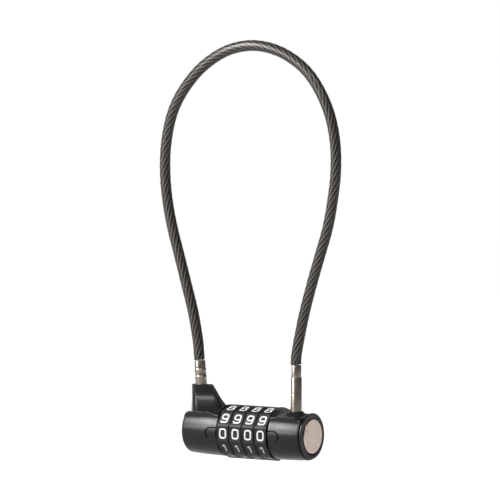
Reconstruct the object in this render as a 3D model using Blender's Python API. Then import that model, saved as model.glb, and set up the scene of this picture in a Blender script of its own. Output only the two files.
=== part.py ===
"""Four-dial combination padlock with a jacketed steel cable for its shackle.

The barrel lies along X and reads from the front (-Y). Its left end (-X) carries the fin that
holds one end of the cable for good. The other end of the cable is a steel plug, which drops into
the right housing and is let go by the push button in the right end (+X).
Sizes are written in millimetres and turned into metres by MM.
"""

import math

import bmesh
import bpy
from mathutils import Matrix, Vector

MM = 0.001

# Fits
FIT = 0.10 * MM  # between pieces that are pressed or bonded together
RUN = 0.15 * MM  # between pieces that slide or turn on each other
SEAT = 0.20 * MM  # between faces that rest on each other
SOFT_EDGE = 0.20 * MM  # the small bevel on turned metal ends
PAST = 1.00 * MM  # how far a cutter runs past the face it opens

# Dials
DIAL_COUNT = 4
DIAL_DIGITS = 10
DIAL_PITCH = 6.37 * MM
DIAL_GAP = 0.30 * MM  # between neighbouring dials
DIAL_PROUD = 0.25 * MM  # from the housings' surface out to the middle of a facet
DIAL_RIDGE = 0.90 * MM  # width of the bevel between two facets
DIAL_END_BEVEL = 0.38 * MM
DIAL_PANEL_MARGIN = 0.35 * MM
DIAL_PANEL_DEPTH = 0.12 * MM

# Barrel housings
BARREL_RADIUS = 10.95 * MM  # beside the dials
LEFT_CROWN = 0.75 * MM  # how much the radius shrinks towards the left end
RIGHT_CROWN = 0.45 * MM  # and towards the right end
LEFT_LENGTH = 18.35 * MM
RIGHT_LENGTH = 15.20 * MM
STACK_MARGIN = 0.50 * MM  # free play at each end of the row of dials
LEFT_ROUND = 1.20 * MM  # rounding of the left end
RIGHT_ROUND = 0.40 * MM  # rounding of the right end
SPINE_HALF_WIDTH = 8.90 * MM  # the flat-sided rib along the top of the barrel
SPINE_TOP = 8.85 * MM  # its height above the axis beside the dials
SPINE_EDGE = 0.80 * MM
SPINE_END_EDGE = 3.20 * MM  # the rib's edges soften to this at the barrel's ends
LEFT_SHOULDER = 11.50 * MM  # radius of the shoulders that hide the sides of the end dials
RIGHT_SHOULDER = 11.80 * MM
SHOULDER_FALL = 5.60 * MM  # length over which a shoulder eases down to the rib's flat top
SHOULDER_STEPS = 6
HOUSING_ARC_STEPS = 26

# Index marks engraved either side of the code line
MARK_LENGTH = 5.60 * MM
MARK_HALF_HEIGHT = 2.20 * MM
MARK_GROOVE = 0.70 * MM
MARK_DEPTH = 0.35 * MM

# Fin that holds the fixed end of the cable
FIN_TOP = 19.60 * MM
FIN_HALF_WIDTH = 3.70 * MM
FIN_LEFT = 0.00 * MM
FIN_EDGE_GAP = 0.50 * MM  # between the foot of the slope and the dials
FIN_NOSE = 2.05 * MM  # half width of the sloping face towards the dials
FIN_CORNER = 0.50 * MM  # rounding of that face's long edges
FIN_TOP_RIGHT = 9.10 * MM  # where the top starts to slope down to the dials
FIN_SLOPE_END = 8.10 * MM  # height, inside the shoulder, at which the slope reaches the fin's foot
FIN_FLARE = 4.90 * MM  # extra half width where the fin meets the barrel
FIN_FLARE_HEIGHT = 9.60 * MM
FIN_FOOT = 4.50 * MM  # height inside the barrel where the fin starts
FIN_STEPS = 12
FIN_CORNER_STEPS = 4

# End ring and push button
RING_THICKNESS = 0.65 * MM
RING_MARGIN = 0.10 * MM  # between the ring and the rounded edge of the housing's end
RING_EDGE = 0.25 * MM
RING_STEPS = 48
BUTTON_RADIUS = 7.45 * MM
BUTTON_GAP = 0.25 * MM
BUTTON_THICKNESS = 2.20 * MM
BUTTON_PROUD = 0.45 * MM
BUTTON_TRAVEL = 2.10 * MM
BUTTON_EDGE = 0.30 * MM
BUTTON_SKIN = 0.90 * MM  # thickness over the end of the spindle

# Core: a fixed slotted tube, the spindle that slides in it, a sleeve under each dial
CORE_OUTER = 3.50 * MM
CORE_INNER = 2.40 * MM
CORE_LEFT = 9.80 * MM
CORE_OVERLAP = 6.00 * MM  # length of the tube held in the right housing
SLOT_WIDTH = 2.00 * MM
SPINDLE_RADIUS = 2.10 * MM
SPINDLE_LEFT = 8.30 * MM
FIN_GATE_LENGTH = 1.00 * MM  # the spindle's fins, along X
FIN_GATE_WIDTH = 1.40 * MM
FIN_GATE_RADIUS = 4.80 * MM
GATE_PLAY = 0.10 * MM
SLEEVE_OUTER = 6.20 * MM
SLEEVE_INNER = 5.10 * MM
SLEEVE_FLANGE = 0.90 * MM
SLEEVE_FLANGE_AT = 2.60 * MM  # from the sleeve's left face
SLEEVE_TOOTH_RADIUS = 7.05 * MM
SLEEVE_TOOTH_WIDTH = 1.30 * MM
SLEEVE_TOOTH_AT = 0.25 * MM
SLEEVE_TOOTH_LENGTH = 1.00 * MM
SPLINE_PLAY = 0.25 * MM  # between a sleeve and the dial over it
RESET_TRAVEL = 1.20 * MM

# Click strip that lies in a flat of the core tube and nudges each sleeve
CLICK_WIDTH = 1.60 * MM
CLICK_THICKNESS = 0.35 * MM
CLICK_FLAT_DEPTH = 0.60 * MM
CLICK_LENGTH = 0.60 * MM
CLICK_NOTCH = 0.35 * MM
CLICK_BUMP_RADIUS = 0.30 * MM

# Retaining clip and return spring at the spindle's left end
SPINDLE_CLIP_RADIUS = 3.15 * MM
SPINDLE_CLIP_THICKNESS = 0.60 * MM
SPINDLE_CLIP_OPENING = 1.80 * MM
SPINDLE_NECK = 1.60 * MM
RETURN_SPRING_RADIUS = 2.50 * MM
RETURN_SPRING_WIRE = 0.60 * MM
RETURN_SPRING_TURNS = 3
RETURN_SPRING_START = 4.10 * MM

# Reset plunger, reached with a pen tip through the left end
PLUNGER_OFFSET = 5.20 * MM
PLUNGER_ANGLE = math.radians(-45.0)  # behind and below the axis
PLUNGER_RADIUS = 1.00 * MM
PLUNGER_HEAD_RADIUS = 1.60 * MM
PLUNGER_HEAD_LENGTH = 0.70 * MM
PLUNGER_HEAD_AT = 1.80 * MM
PEN_HOLE_RADIUS = 0.90 * MM
CAP_RADIUS = 6.60 * MM
CAP_THICKNESS = 1.20 * MM
CAP_SINK = 0.15 * MM
RESET_SPRING_WIRE = 0.60 * MM
RESET_SPRING_TURNS = 3
RESET_RECESS = 3.20 * MM
RESET_RECESS_RADIUS = 6.70 * MM

# Pins that fix the core tube in both housings
CORE_PIN_RADIUS = 0.70 * MM
CORE_PIN_LEFT_AT = 14.00 * MM
CORE_PIN_RIGHT_AT = 4.60 * MM  # from the right housing's left face
CORE_PIN_SINK = 0.90 * MM  # how deep their outer ends sit in the barrel

# Plug and the spring clip that grips its groove
PLUG_AT = 7.80 * MM  # from the right housing's left face
PLUG_RADIUS = 2.50 * MM
PLUG_TIP = 3.95 * MM
PLUG_TAPER = 1.00 * MM
PLUG_TIP_RADIUS = 1.80 * MM
PLUG_SHOULDER = 25.20 * MM
PLUG_TOP = 30.40 * MM
PLUG_NECK_RADIUS = 2.25 * MM
GROOVE_RADIUS = 1.75 * MM
GROOVE_LOW = 5.35 * MM
GROOVE_HIGH = 6.55 * MM
SOCKET_FLOOR = 3.75 * MM
SOCKET_CHAMFER = 0.20 * MM
BOSS_TOP = 10.40 * MM  # height of the cone-shaped boss round the plug's hole
BOSS_TOP_RADIUS = 3.05 * MM
BOSS_FOOT = 8.60 * MM
BOSS_FOOT_RADIUS = 4.60 * MM
CLIP_WIRE = 0.80 * MM
CLIP_POCKET_HALF_WIDTH = 4.20 * MM
CLIP_BEND_GAP = 0.90 * MM
CLIP_BEND_AT = 0.40 * MM  # from the plug's axis back to the middle of the bend
CLIP_LEG_RIGHT = 3.90 * MM  # from the plug's axis to the legs' ends
CLIP_FLARE_LENGTH = 0.80 * MM
CLIP_FLARE = 0.35 * MM  # how far the legs' ends bend out for the wedge
WEDGE_LENGTH = 1.50 * MM
WEDGE_TIP = 1.70 * MM
WEDGE_ROOT = 2.80 * MM

# Fixed ferrule
FERRULE_RADIUS = 2.50 * MM
FERRULE_X = 4.20 * MM
FERRULE_TILT = math.radians(5.0)
FERRULE_DEPTH = 8.60 * MM  # length inside the fin
FERRULE_HEIGHT = 10.35 * MM  # length above the fin
FERRULE_BEAD = 0.22 * MM
FERRULE_BEAD_LENGTH = 0.90 * MM
FERRULE_BEADS = (3.2 * MM, 6.3 * MM)  # heights of the crimped beads above the fin
FERRULE_PIN_RADIUS = 0.80 * MM
FERRULE_PIN_DROP = 5.00 * MM  # below the fin's top
FERRULE_PIN_LENGTH = 3.60 * MM

# Cable: points of its loop in the plane of the barrel, (x, z) in millimetres
CABLE_RADIUS = 2.42 * MM
CABLE_GAP = 0.30 * MM
CABLE_LEAD = 3.00 * MM  # how far each end runs on straight out of its fitting
CABLE_POINTS = 66
CABLE_ROUTE = [
    (2.4, 39.0), (-0.0, 51.0), (-3.5, 63.1), (-7.0, 75.0), (-10.6, 87.1), (-13.2, 99.1),
    (-14.4, 111.1), (-13.9, 123.4), (-11.2, 135.6), (-6.5, 145.1), (1.1, 154.4), (9.4, 161.0),
    (18.6, 165.6), (28.9, 167.7), (39.0, 167.0), (48.6, 163.7), (57.4, 157.9), (64.2, 149.7),
    (69.5, 139.0), (72.2, 126.9), (72.5, 114.7), (71.0, 102.6), (68.5, 90.4), (64.5, 78.0),
    (60.5, 65.7), (56.9, 53.4), (54.0, 41.1),
]

# Places worked out from the sizes above
STACK_START = LEFT_LENGTH + STACK_MARGIN
RIGHT_START = LEFT_LENGTH + 2 * STACK_MARGIN + DIAL_COUNT * DIAL_PITCH
RIGHT_END = RIGHT_START + RIGHT_LENGTH
RING_START = RIGHT_END + SEAT
RING_END = RING_START + RING_THICKNESS
BUTTON_FACE = RING_END + BUTTON_PROUD
BUTTON_BACK = BUTTON_FACE - BUTTON_THICKNESS
BUTTON_BORE = BUTTON_RADIUS + BUTTON_GAP
CAVITY_FLOOR = BUTTON_BACK - BUTTON_TRAVEL - SEAT
CORE_RIGHT = RIGHT_START + CORE_OVERLAP
DIAL_WIDTH = DIAL_PITCH - DIAL_GAP
PLUG_X = RIGHT_START + PLUG_AT
DIAL_FLAT_RADIUS = BARREL_RADIUS + DIAL_PROUD
RING_RADIUS = BARREL_RADIUS - RIGHT_CROWN - RIGHT_ROUND - RING_MARGIN
FIN_FLARE_START = SPINE_TOP - LEFT_CROWN - SPINE_EDGE
SPLINE_BORE = SLEEVE_OUTER + SPLINE_PLAY
SPLINE_ROOT = SLEEVE_TOOTH_RADIUS + SPLINE_PLAY
SPLINE_LENGTH = SLEEVE_TOOTH_AT + SLEEVE_TOOTH_LENGTH + RUN
POCKET_LOW = GROOVE_LOW - RUN
POCKET_HIGH = GROOVE_HIGH + RUN
PLUNGER_PLACE = Vector((0.0, -math.sin(PLUNGER_ANGLE), math.sin(PLUNGER_ANGLE))) * PLUNGER_OFFSET
HANG_POINT = Vector((31.0 * MM, 0.0, 165.30 * MM))  # inner top of the cable loop

METAL = ((0.62, 0.60, 0.57), 0.28, 1.0)
BLACK = ((0.020, 0.020, 0.023), 0.38, 0.0)
CHAMPAGNE = ((0.70, 0.64, 0.56), 0.35, 1.0)
DIAL_BLACK = ((0.060, 0.060, 0.070), 0.42, 0.0)
SPRING_STEEL = ((0.42, 0.42, 0.44), 0.30, 1.0)
BRASS = ((0.72, 0.55, 0.26), 0.35, 1.0)
JACKET = ((0.09, 0.085, 0.085), 0.30, 0.0)


def clear_scene():
    """Empty the scene that the script is run in."""
    for obj in list(bpy.data.objects):
        bpy.data.objects.remove(obj, do_unlink=True)


def make_material(name, finish):
    """A plain material with a colour, a roughness and a metallic value."""
    colour, roughness, metallic = finish
    mat = bpy.data.materials.new(name)
    mat.use_nodes = True
    shader = mat.node_tree.nodes["Principled BSDF"]
    shader.inputs["Base Color"].default_value = (*colour, 1.0)
    shader.inputs["Roughness"].default_value = roughness
    shader.inputs["Metallic"].default_value = metallic
    mat.diffuse_color = (*colour, 1.0)
    return mat


def add_object(name, data, finish, frame, place=(0.0, 0.0, 0.0)):
    """Put a mesh or curve in the scene under the lock's frame."""
    obj = bpy.data.objects.new(name, data)
    bpy.context.scene.collection.objects.link(obj)
    obj.parent = frame
    obj.location = place
    if finish is not None:
        data.materials.append(make_material(name, finish))
    return obj


def finish_mesh(bm, name, sharp=24.0):
    """Close a bmesh into a mesh with outward normals and crisp edges."""
    bmesh.ops.recalc_face_normals(bm, faces=bm.faces)
    mesh = bpy.data.meshes.new(name)
    bm.to_mesh(mesh)
    bm.free()
    mesh.shade_smooth()
    mesh.set_sharp_from_angle(angle=math.radians(sharp))
    return mesh


def loft(name, loops):
    """Skin a row of point loops of equal length and close both ends."""
    bm = bmesh.new()
    rings = [[bm.verts.new(point) for point in loop] for loop in loops]
    for ring, following in zip(rings, rings[1:]):
        for i in range(len(ring)):
            j = (i + 1) % len(ring)
            bm.faces.new((ring[i], ring[j], following[j], following[i]))
    bm.faces.new(rings[0])
    bm.faces.new(rings[-1])
    return finish_mesh(bm, name)


def turned(name, profile, steps=48):
    """Turn a profile of (x, radius) points about X. Ends on the axis close the piece."""
    bm = bmesh.new()
    points = [bm.verts.new((x, 0.0, radius)) for x, radius in profile]
    edges = [bm.edges.new(pair) for pair in zip(points, points[1:])]
    if profile[0][1] > 0.0 and profile[-1][1] > 0.0:
        edges.append(bm.edges.new((points[-1], points[0])))
    bmesh.ops.spin(
        bm, geom=points + edges, cent=(0, 0, 0), axis=(1, 0, 0), dvec=(0, 0, 0),
        angle=math.tau, steps=steps, use_merge=True, use_duplicate=False,
    )
    bmesh.ops.remove_doubles(bm, verts=bm.verts, dist=0.5e-6)
    return finish_mesh(bm, name)


def turned_up(name, profile, steps=32):
    """Turn a profile of (z, radius) points about Z."""
    mesh = turned(name, profile, steps)
    mesh.transform(Matrix.Rotation(math.radians(-90.0), 4, "Y"))
    return mesh


def rod(name, start, end, radius, steps=32):
    """A plain round bar along X."""
    return turned(name, [(start, 0.0), (start, radius), (end, radius), (end, 0.0)], steps)


def box(name, low, high):
    """A rectangular block between two corners."""
    corners = [(low[1], low[2]), (high[1], low[2]), (high[1], high[2]), (low[1], high[2])]
    return loft(name, [[(x, y, z) for y, z in corners] for x in (low[0], high[0])])


def combine(target, other, operation, solver):
    """Join or cut the target with another object, which is then only a guide."""
    step = target.modifiers.new(other.name, "BOOLEAN")
    step.operation = operation
    step.solver = solver
    step.object = other
    other.hide_render = True
    other.display_type = "WIRE"


def cut(target, *cutters, solver="EXACT"):
    """Take each cutter out of the target."""
    for cutter in cutters:
        combine(target, cutter, "DIFFERENCE", solver)


def fuse(target, *others, solver="EXACT"):
    """Add each other shape to the target."""
    for other in others:
        combine(target, other, "UNION", solver)


def baked(obj):
    """The mesh of an object with its modifiers worked out, for copies to share."""
    bpy.context.view_layer.update()
    evaluated = obj.evaluated_get(bpy.context.evaluated_depsgraph_get())
    mesh = bpy.data.meshes.new_from_object(evaluated)
    mesh.name = obj.name + "_baked"
    return mesh


def ease(value):
    """Smooth step from 0 to 1."""
    value = min(max(value, 0.0), 1.0)
    return value * value * (3.0 - 2.0 * value)


# Housings ----------------------------------------------------------------------------------


def housing_section(x, sink, edge, shoulder, dome):
    """Outline of the barrel at x: a round belly with a flat-sided rib on top.

    sink is how far the surface lies below its height beside the dials. dome blends the rib's top
    from flat (0) to the shoulder's radius (1).
    """
    radius = BARREL_RADIUS - sink
    top = SPINE_TOP - sink
    half_width = SPINE_HALF_WIDTH * radius / BARREL_RADIUS
    foot = math.sqrt(radius ** 2 - half_width ** 2)
    foot_angle = math.atan2(foot, half_width)
    loop = []
    sweep = math.pi + 2.0 * foot_angle
    for i in range(HOUSING_ARC_STEPS + 1):
        angle = foot_angle - sweep * i / HOUSING_ARC_STEPS
        loop.append((x, radius * math.cos(angle), radius * math.sin(angle)))

    def top_height(y):
        return top * (1.0 - dome) + (math.sqrt(shoulder ** 2 - y ** 2) - sink) * dome

    corner = top_height(half_width)
    drop = min(edge, corner - foot - FIT)
    left_side = []
    for i in range(4):
        turn = math.radians(90.0 * i / 3)
        y = half_width - edge * (1.0 - math.cos(turn))
        z = corner - drop + (top_height(half_width - edge) - corner + drop) * math.sin(turn)
        left_side.append((y, z))
    inner = half_width - edge
    across = [inner * (0.7 - 0.35 * i) for i in range(5)]
    loop += [(x, -y, z) for y, z in left_side]
    loop += [(x, -y, top_height(y)) for y in across]
    loop += [(x, y, z) for y, z in reversed(left_side)]
    return loop


def edge_near_end(distance):
    """Rounding of the rib's edges at a distance from the barrel's end."""
    return SPINE_EDGE + (SPINE_END_EDGE - SPINE_EDGE) * max(0.0, 1.0 - distance / SPINE_END_EDGE)


def left_sections():
    """Sections of the left housing from its rounded end to the dials."""
    fall_start = LEFT_LENGTH - SHOULDER_FALL
    stations = [LEFT_ROUND * (1.0 - math.cos(math.radians(22.5 * i))) for i in range(5)]
    stations += [SPINE_END_EDGE, (SPINE_END_EDGE + fall_start) / 2]
    stations += [fall_start + SHOULDER_FALL * i / SHOULDER_STEPS for i in range(SHOULDER_STEPS + 1)]
    sections = []
    for x in stations:
        short = max(0.0, LEFT_ROUND - x)
        rounding = LEFT_ROUND - math.sqrt(LEFT_ROUND ** 2 - short ** 2)
        sink = LEFT_CROWN * (1.0 - x / LEFT_LENGTH) ** 2 + rounding
        dome = ease((x - fall_start) / SHOULDER_FALL)
        sections.append(housing_section(x, sink, edge_near_end(x), LEFT_SHOULDER, dome))
    return sections


def right_sections():
    """Sections of the right housing from the dials to its rounded right end."""
    soft_start = RIGHT_END - SPINE_END_EDGE
    round_start = RIGHT_END - RIGHT_ROUND
    stations = [RIGHT_START + SHOULDER_FALL * i / SHOULDER_STEPS for i in range(SHOULDER_STEPS + 1)]
    stations += [soft_start + (round_start - soft_start) * i / 2 for i in range(3)]
    stations += [round_start + RIGHT_ROUND * math.sin(math.radians(45.0)), RIGHT_END]
    sections = []
    for x in stations:
        past = max(0.0, x - round_start)
        rounding = RIGHT_ROUND - math.sqrt(RIGHT_ROUND ** 2 - past ** 2)
        sink = RIGHT_CROWN * ((x - RIGHT_START) / RIGHT_LENGTH) ** 2 + rounding
        dome = 1.0 - ease((x - RIGHT_START) / SHOULDER_FALL)
        sections.append(housing_section(x, sink, edge_near_end(RIGHT_END - x), RIGHT_SHOULDER, dome))
    return sections


def fin_outline(z):
    """Plan outline of the fin at a height: round about the cable, narrow and flat to the dials."""
    flare = 1.0 - min(max((z - FIN_FLARE_START) / FIN_FLARE_HEIGHT, 0.0), 1.0)
    half = FIN_HALF_WIDTH + FIN_FLARE * flare ** 2
    nose = FIN_NOSE + FIN_FLARE * flare ** 2
    foot = LEFT_LENGTH - FIN_EDGE_GAP
    slope = (foot - FIN_TOP_RIGHT) / (FIN_TOP - FIN_SLOPE_END)
    right = min(FIN_TOP_RIGHT + slope * (FIN_TOP - z), foot)
    arcs = [(FIN_LEFT + half, 0.0, half, 90.0, 180.0, FIN_STEPS)]
    for side, start in ((-1, -90.0), (1, 0.0)):
        y = side * (nose - FIN_CORNER)
        arcs.append((right - FIN_CORNER, y, FIN_CORNER, start, 90.0, FIN_CORNER_STEPS))
    outline = []
    for x, y, radius, start, sweep, steps in arcs:
        for i in range(steps + 1):
            angle = math.radians(start + sweep * i / steps)
            outline.append((x + radius * math.cos(angle), y + radius * math.sin(angle), z))
    return outline


def index_mark(name, frame, mouth, direction):
    """Cutter for a U-shaped groove whose open end faces the dials."""
    outline = []
    outer = MARK_HALF_HEIGHT + MARK_GROOVE / 2
    inner = MARK_HALF_HEIGHT - MARK_GROOVE / 2
    bend = MARK_LENGTH - outer
    start = -PAST
    steps = 10
    outline.append((start, outer))
    for i in range(steps + 1):
        angle = math.radians(90.0 - 180.0 * i / steps)
        outline.append((bend + outer * math.cos(angle), outer * math.sin(angle)))
    outline.append((start, -outer))
    outline.append((start, -inner))
    for i in range(steps + 1):
        angle = math.radians(-90.0 + 180.0 * i / steps)
        outline.append((bend + inner * math.cos(angle), inner * math.sin(angle)))
    outline.append((start, inner))
    loops = [[(mouth + direction * x, y, z) for x, z in outline]
             for y in (-BARREL_RADIUS - PAST, -BARREL_RADIUS + PAST)]
    mark = add_object(name, loft(name, loops), None, frame)
    reach = sorted((mouth - direction * 2 * PAST, mouth + direction * (MARK_LENGTH + PAST)))
    floor = rod(name + "_floor", *reach, BARREL_RADIUS - MARK_DEPTH, 48)
    cut(mark, add_object(name + "_floor", floor, None, frame))
    return mark


def core_pin_place(index):
    """X of the pin that fixes the core tube in the left (0) or the right (1) housing."""
    return (CORE_PIN_LEFT_AT, RIGHT_START + CORE_PIN_RIGHT_AT)[index]


def core_pin_top():
    """Height of the inner end of a core pin, in the wall of the tube."""
    return -(CORE_INNER + FIT)


def pin_hole(name, frame, x):
    """Cutter for a core pin's hole, drilled up from below."""
    low = -BARREL_RADIUS - PAST
    mesh = turned_up(name, [(low, 0.0), (low, CORE_PIN_RADIUS + FIT),
                            (core_pin_top(), CORE_PIN_RADIUS + FIT), (core_pin_top(), 0.0)], 20)
    return add_object(name, mesh, None, frame, (x, 0.0, 0.0))


def ferrule_matrix():
    """Place of the fixed ferrule: leaning left about the top of the fin."""
    return Matrix.Translation((FERRULE_X, 0.0, FIN_TOP)) @ Matrix.Rotation(-FERRULE_TILT, 4, "Y")


def ferrule_pin_start():
    """Y of the ferrule pin's outer end, on the back of the fin."""
    return FIN_HALF_WIDTH - SEAT


def make_left_housing(frame):
    """Left housing with its fin, bored for the core, the ferrule and the reset plunger."""
    housing = add_object("left_housing", loft("left_housing", left_sections()), BLACK, frame)
    heights = [FIN_FOOT, FIN_FLARE_START]
    heights += [FIN_FLARE_START + FIN_FLARE_HEIGHT * (i / 8) ** 1.3 for i in range(1, 9)]
    heights += [FIN_TOP]
    fin = add_object("fin_shape", loft("fin_shape", [fin_outline(z) for z in heights]), None, frame)
    fuse(housing, fin, solver="MANIFOLD")

    bore = rod("left_core_bore", RETURN_SPRING_START - FIT, LEFT_LENGTH + PAST, CORE_OUTER + FIT)
    cap_back = CAP_SINK + CAP_THICKNESS
    recess = rod("cap_recess", -PAST, cap_back + FIT, CAP_RADIUS + FIT, 48)
    head_end = PLUNGER_HEAD_AT + PLUNGER_HEAD_LENGTH + RESET_TRAVEL + RUN
    head = rod("plunger_head_bore", cap_back, head_end, PLUNGER_HEAD_RADIUS + RUN, 20)
    stem = rod("plunger_bore", cap_back, LEFT_LENGTH + PAST, PLUNGER_RADIUS + RUN, 20)
    socket = turned_up("ferrule_socket", [
        (-FERRULE_DEPTH - SEAT, 0.0), (-FERRULE_DEPTH - SEAT, FERRULE_RADIUS + FIT),
        (2 * PAST, FERRULE_RADIUS + FIT), (2 * PAST, 0.0)], 24)
    socket.transform(ferrule_matrix())
    cross = rod("ferrule_pin_hole", -FERRULE_PIN_LENGTH - SEAT, FIN_FLARE + PAST,
                FERRULE_PIN_RADIUS + FIT, 20)
    cross.transform(Matrix.Rotation(math.radians(90.0), 4, "Z"))
    cutters = [
        add_object("left_core_bore", bore, None, frame),
        add_object("cap_recess", recess, None, frame),
        add_object("plunger_head_bore", head, None, frame, PLUNGER_PLACE),
        add_object("plunger_bore", stem, None, frame, PLUNGER_PLACE),
        add_object("ferrule_socket", socket, None, frame),
        add_object("ferrule_pin_hole", cross, None, frame,
                   (FERRULE_X, ferrule_pin_start(), FIN_TOP - FERRULE_PIN_DROP)),
        pin_hole("core_pin_hole_left", frame, core_pin_place(0)),
        index_mark("index_mark_left", frame, LEFT_LENGTH, -1),
    ]
    cut(housing, *cutters, solver="MANIFOLD")  # crossing round bores, which EXACT leaves torn
    return housing


def make_right_housing(frame):
    """Right housing, bored for the core, the plug, its clip and the push button."""
    housing = add_object("right_housing", loft("right_housing", right_sections()), BLACK, frame)
    base = SOCKET_FLOOR + PAST
    boss = turned_up("plug_boss", [
        (base, 0.0), (base, BOSS_FOOT_RADIUS), (BOSS_FOOT, BOSS_FOOT_RADIUS),
        (BOSS_TOP, BOSS_TOP_RADIUS), (BOSS_TOP, 0.0)], 32)
    fuse(housing, add_object("plug_boss", boss, None, frame, (PLUG_X, 0.0, 0.0)), solver="MANIFOLD")
    start = RIGHT_START - PAST
    spring = rod("reset_spring_recess", start, RIGHT_START + RESET_RECESS, RESET_RECESS_RADIUS, 40)
    core = rod("right_core_bore", start, CORE_RIGHT + FIT, CORE_OUTER + FIT)
    shaft = rod("spindle_bore", start, RIGHT_END + PAST, CORE_INNER)
    cavity = rod("button_cavity", CAVITY_FLOOR, RIGHT_END + PAST, BUTTON_BORE, RING_STEPS)
    mouth = PLUG_RADIUS + RUN
    rim = mouth + SOCKET_CHAMFER + FIT
    above = BOSS_TOP + PAST
    socket = turned_up("plug_socket", [
        (SOCKET_FLOOR, 0.0), (SOCKET_FLOOR, mouth), (BOSS_TOP - SOCKET_CHAMFER, mouth),
        (BOSS_TOP + FIT, rim), (above, rim), (above, 0.0)], 32)
    pocket = box(
        "clip_pocket",
        (PLUG_X - PLUG_RADIUS - RUN - CLIP_BEND_GAP, -CLIP_POCKET_HALF_WIDTH, POCKET_LOW),
        (CAVITY_FLOOR + PAST, CLIP_POCKET_HALF_WIDTH, POCKET_HIGH))
    cutters = [
        add_object("reset_spring_recess", spring, None, frame),
        add_object("right_core_bore", core, None, frame),
        add_object("spindle_bore", shaft, None, frame),
        add_object("button_cavity", cavity, None, frame),
        add_object("plug_socket", socket, None, frame, (PLUG_X, 0.0, 0.0)),
        add_object("clip_pocket", pocket, None, frame),
        pin_hole("core_pin_hole_right", frame, core_pin_place(1)),
        index_mark("index_mark_right", frame, RIGHT_START, 1),
    ]
    cut(housing, *cutters, solver="MANIFOLD")  # crossing round bores, which EXACT leaves torn
    return housing


def make_end_ring(frame):
    """Slim ring on the end of the right housing round the push button, with softened edges."""
    profile = [
        (RING_START, BUTTON_BORE), (RING_END - SOFT_EDGE, BUTTON_BORE),
        (RING_END, BUTTON_BORE + SOFT_EDGE), (RING_END, RING_RADIUS - RING_EDGE),
        (RING_END - RING_EDGE / 4, RING_RADIUS - RING_EDGE / 4),
        (RING_END - RING_EDGE, RING_RADIUS), (RING_START, RING_RADIUS),
    ]
    return add_object("end_ring", turned("end_ring", profile, RING_STEPS), BLACK, frame)


def make_left_end_cap(frame):
    """Disc that closes the left end, with the pen hole over the reset plunger."""
    low = CAP_SINK
    profile = [(low, 0.0), (low, CAP_RADIUS - SOFT_EDGE), (low + SOFT_EDGE, CAP_RADIUS),
               (low + CAP_THICKNESS, CAP_RADIUS), (low + CAP_THICKNESS, 0.0)]
    cap = add_object("left_end_cap", turned("left_end_cap", profile, 48), BLACK, frame)
    hole = rod("pen_hole", -PAST, CAP_SINK + CAP_THICKNESS + PAST, PEN_HOLE_RADIUS, 20)
    cut(cap, add_object("pen_hole", hole, None, frame, PLUNGER_PLACE))
    return cap


# Dials and what lies under them --------------------------------------------------------------


def dial_left(index):
    """X of a dial's left face. Dials count from 0 at the left."""
    return STACK_START + index * DIAL_PITCH + DIAL_GAP / 2


def dial_outline(x, inset):
    """Ten facets with a narrow bevel between neighbours."""
    flat = DIAL_FLAT_RADIUS - inset
    half_step = math.pi / DIAL_DIGITS
    half_facet = DIAL_FLAT_RADIUS * math.tan(half_step) - DIAL_RIDGE / 2
    loop = []
    for i in range(DIAL_DIGITS):
        facing = math.pi + 2 * half_step * i
        for side in (-half_facet, half_facet):
            y = flat * math.cos(facing) - side * math.sin(facing)
            z = flat * math.sin(facing) + side * math.cos(facing)
            loop.append((x, y, z))
    return loop


def toothed_outline(x, low, high, width):
    """A round outline with ten square teeth, one for each digit."""
    loop = []
    for i in range(DIAL_DIGITS):
        facing = math.tau * i / DIAL_DIGITS
        half = width / 2
        for radius, side in ((low, -half), (high, -half), (high, half), (low, half)):
            reach = math.sqrt(radius ** 2 - side ** 2)
            y = reach * math.cos(facing) - side * math.sin(facing)
            z = reach * math.sin(facing) + side * math.cos(facing)
            loop.append((x, y, z))
        between = facing + math.pi / DIAL_DIGITS
        loop.append((x, low * math.cos(between), low * math.sin(between)))
    return loop


def dial_body():
    """Outer shape of a dial with a shallow panel sunk in each facet."""
    stations = [(0.0, DIAL_END_BEVEL), (DIAL_END_BEVEL, 0.0),
                (DIAL_WIDTH - DIAL_END_BEVEL, 0.0), (DIAL_WIDTH, DIAL_END_BEVEL)]
    mesh = loft("dial", [dial_outline(x, inset) for x, inset in stations])
    bm = bmesh.new()
    bm.from_mesh(mesh)
    facet = 2 * (DIAL_FLAT_RADIUS * math.tan(math.pi / DIAL_DIGITS)) - DIAL_RIDGE
    area = facet * (DIAL_WIDTH - 2 * DIAL_END_BEVEL)
    facets = [face for face in bm.faces if abs(face.calc_area() - area) < 0.02 * area]
    bmesh.ops.inset_individual(bm, faces=facets, thickness=DIAL_PANEL_MARGIN)
    bmesh.ops.inset_individual(bm, faces=facets, thickness=DIAL_PANEL_DEPTH, depth=-DIAL_PANEL_DEPTH)
    return finish_mesh(bm, "dial")


def share_pattern(pattern):
    """Turn a pattern object into a guide and give back its finished mesh."""
    mesh = baked(pattern)
    mesh.materials.clear()
    pattern.hide_render = True
    pattern.display_type = "WIRE"
    return mesh


def make_dials(frame):
    """The numbered dials, each splined inside to its sleeve."""
    pattern = add_object("dial_pattern", dial_body(), None, frame)
    gap_width = SLEEVE_TOOTH_WIDTH + 2 * RUN
    spline = loft("dial_spline", [toothed_outline(x, SPLINE_BORE, SPLINE_ROOT, gap_width)
                                  for x in (-PAST, SPLINE_LENGTH + FIT)])
    bore = rod("dial_bore", SPLINE_LENGTH, DIAL_WIDTH + PAST, SPLINE_ROOT, 30)
    cut(pattern, add_object("dial_spline", spline, None, frame),
        add_object("dial_bore", bore, None, frame))
    mesh = share_pattern(pattern)
    for i in range(DIAL_COUNT):
        add_object(f"dial_{i + 1}", mesh.copy(), DIAL_BLACK, frame, (dial_left(i), 0.0, 0.0))


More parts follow.
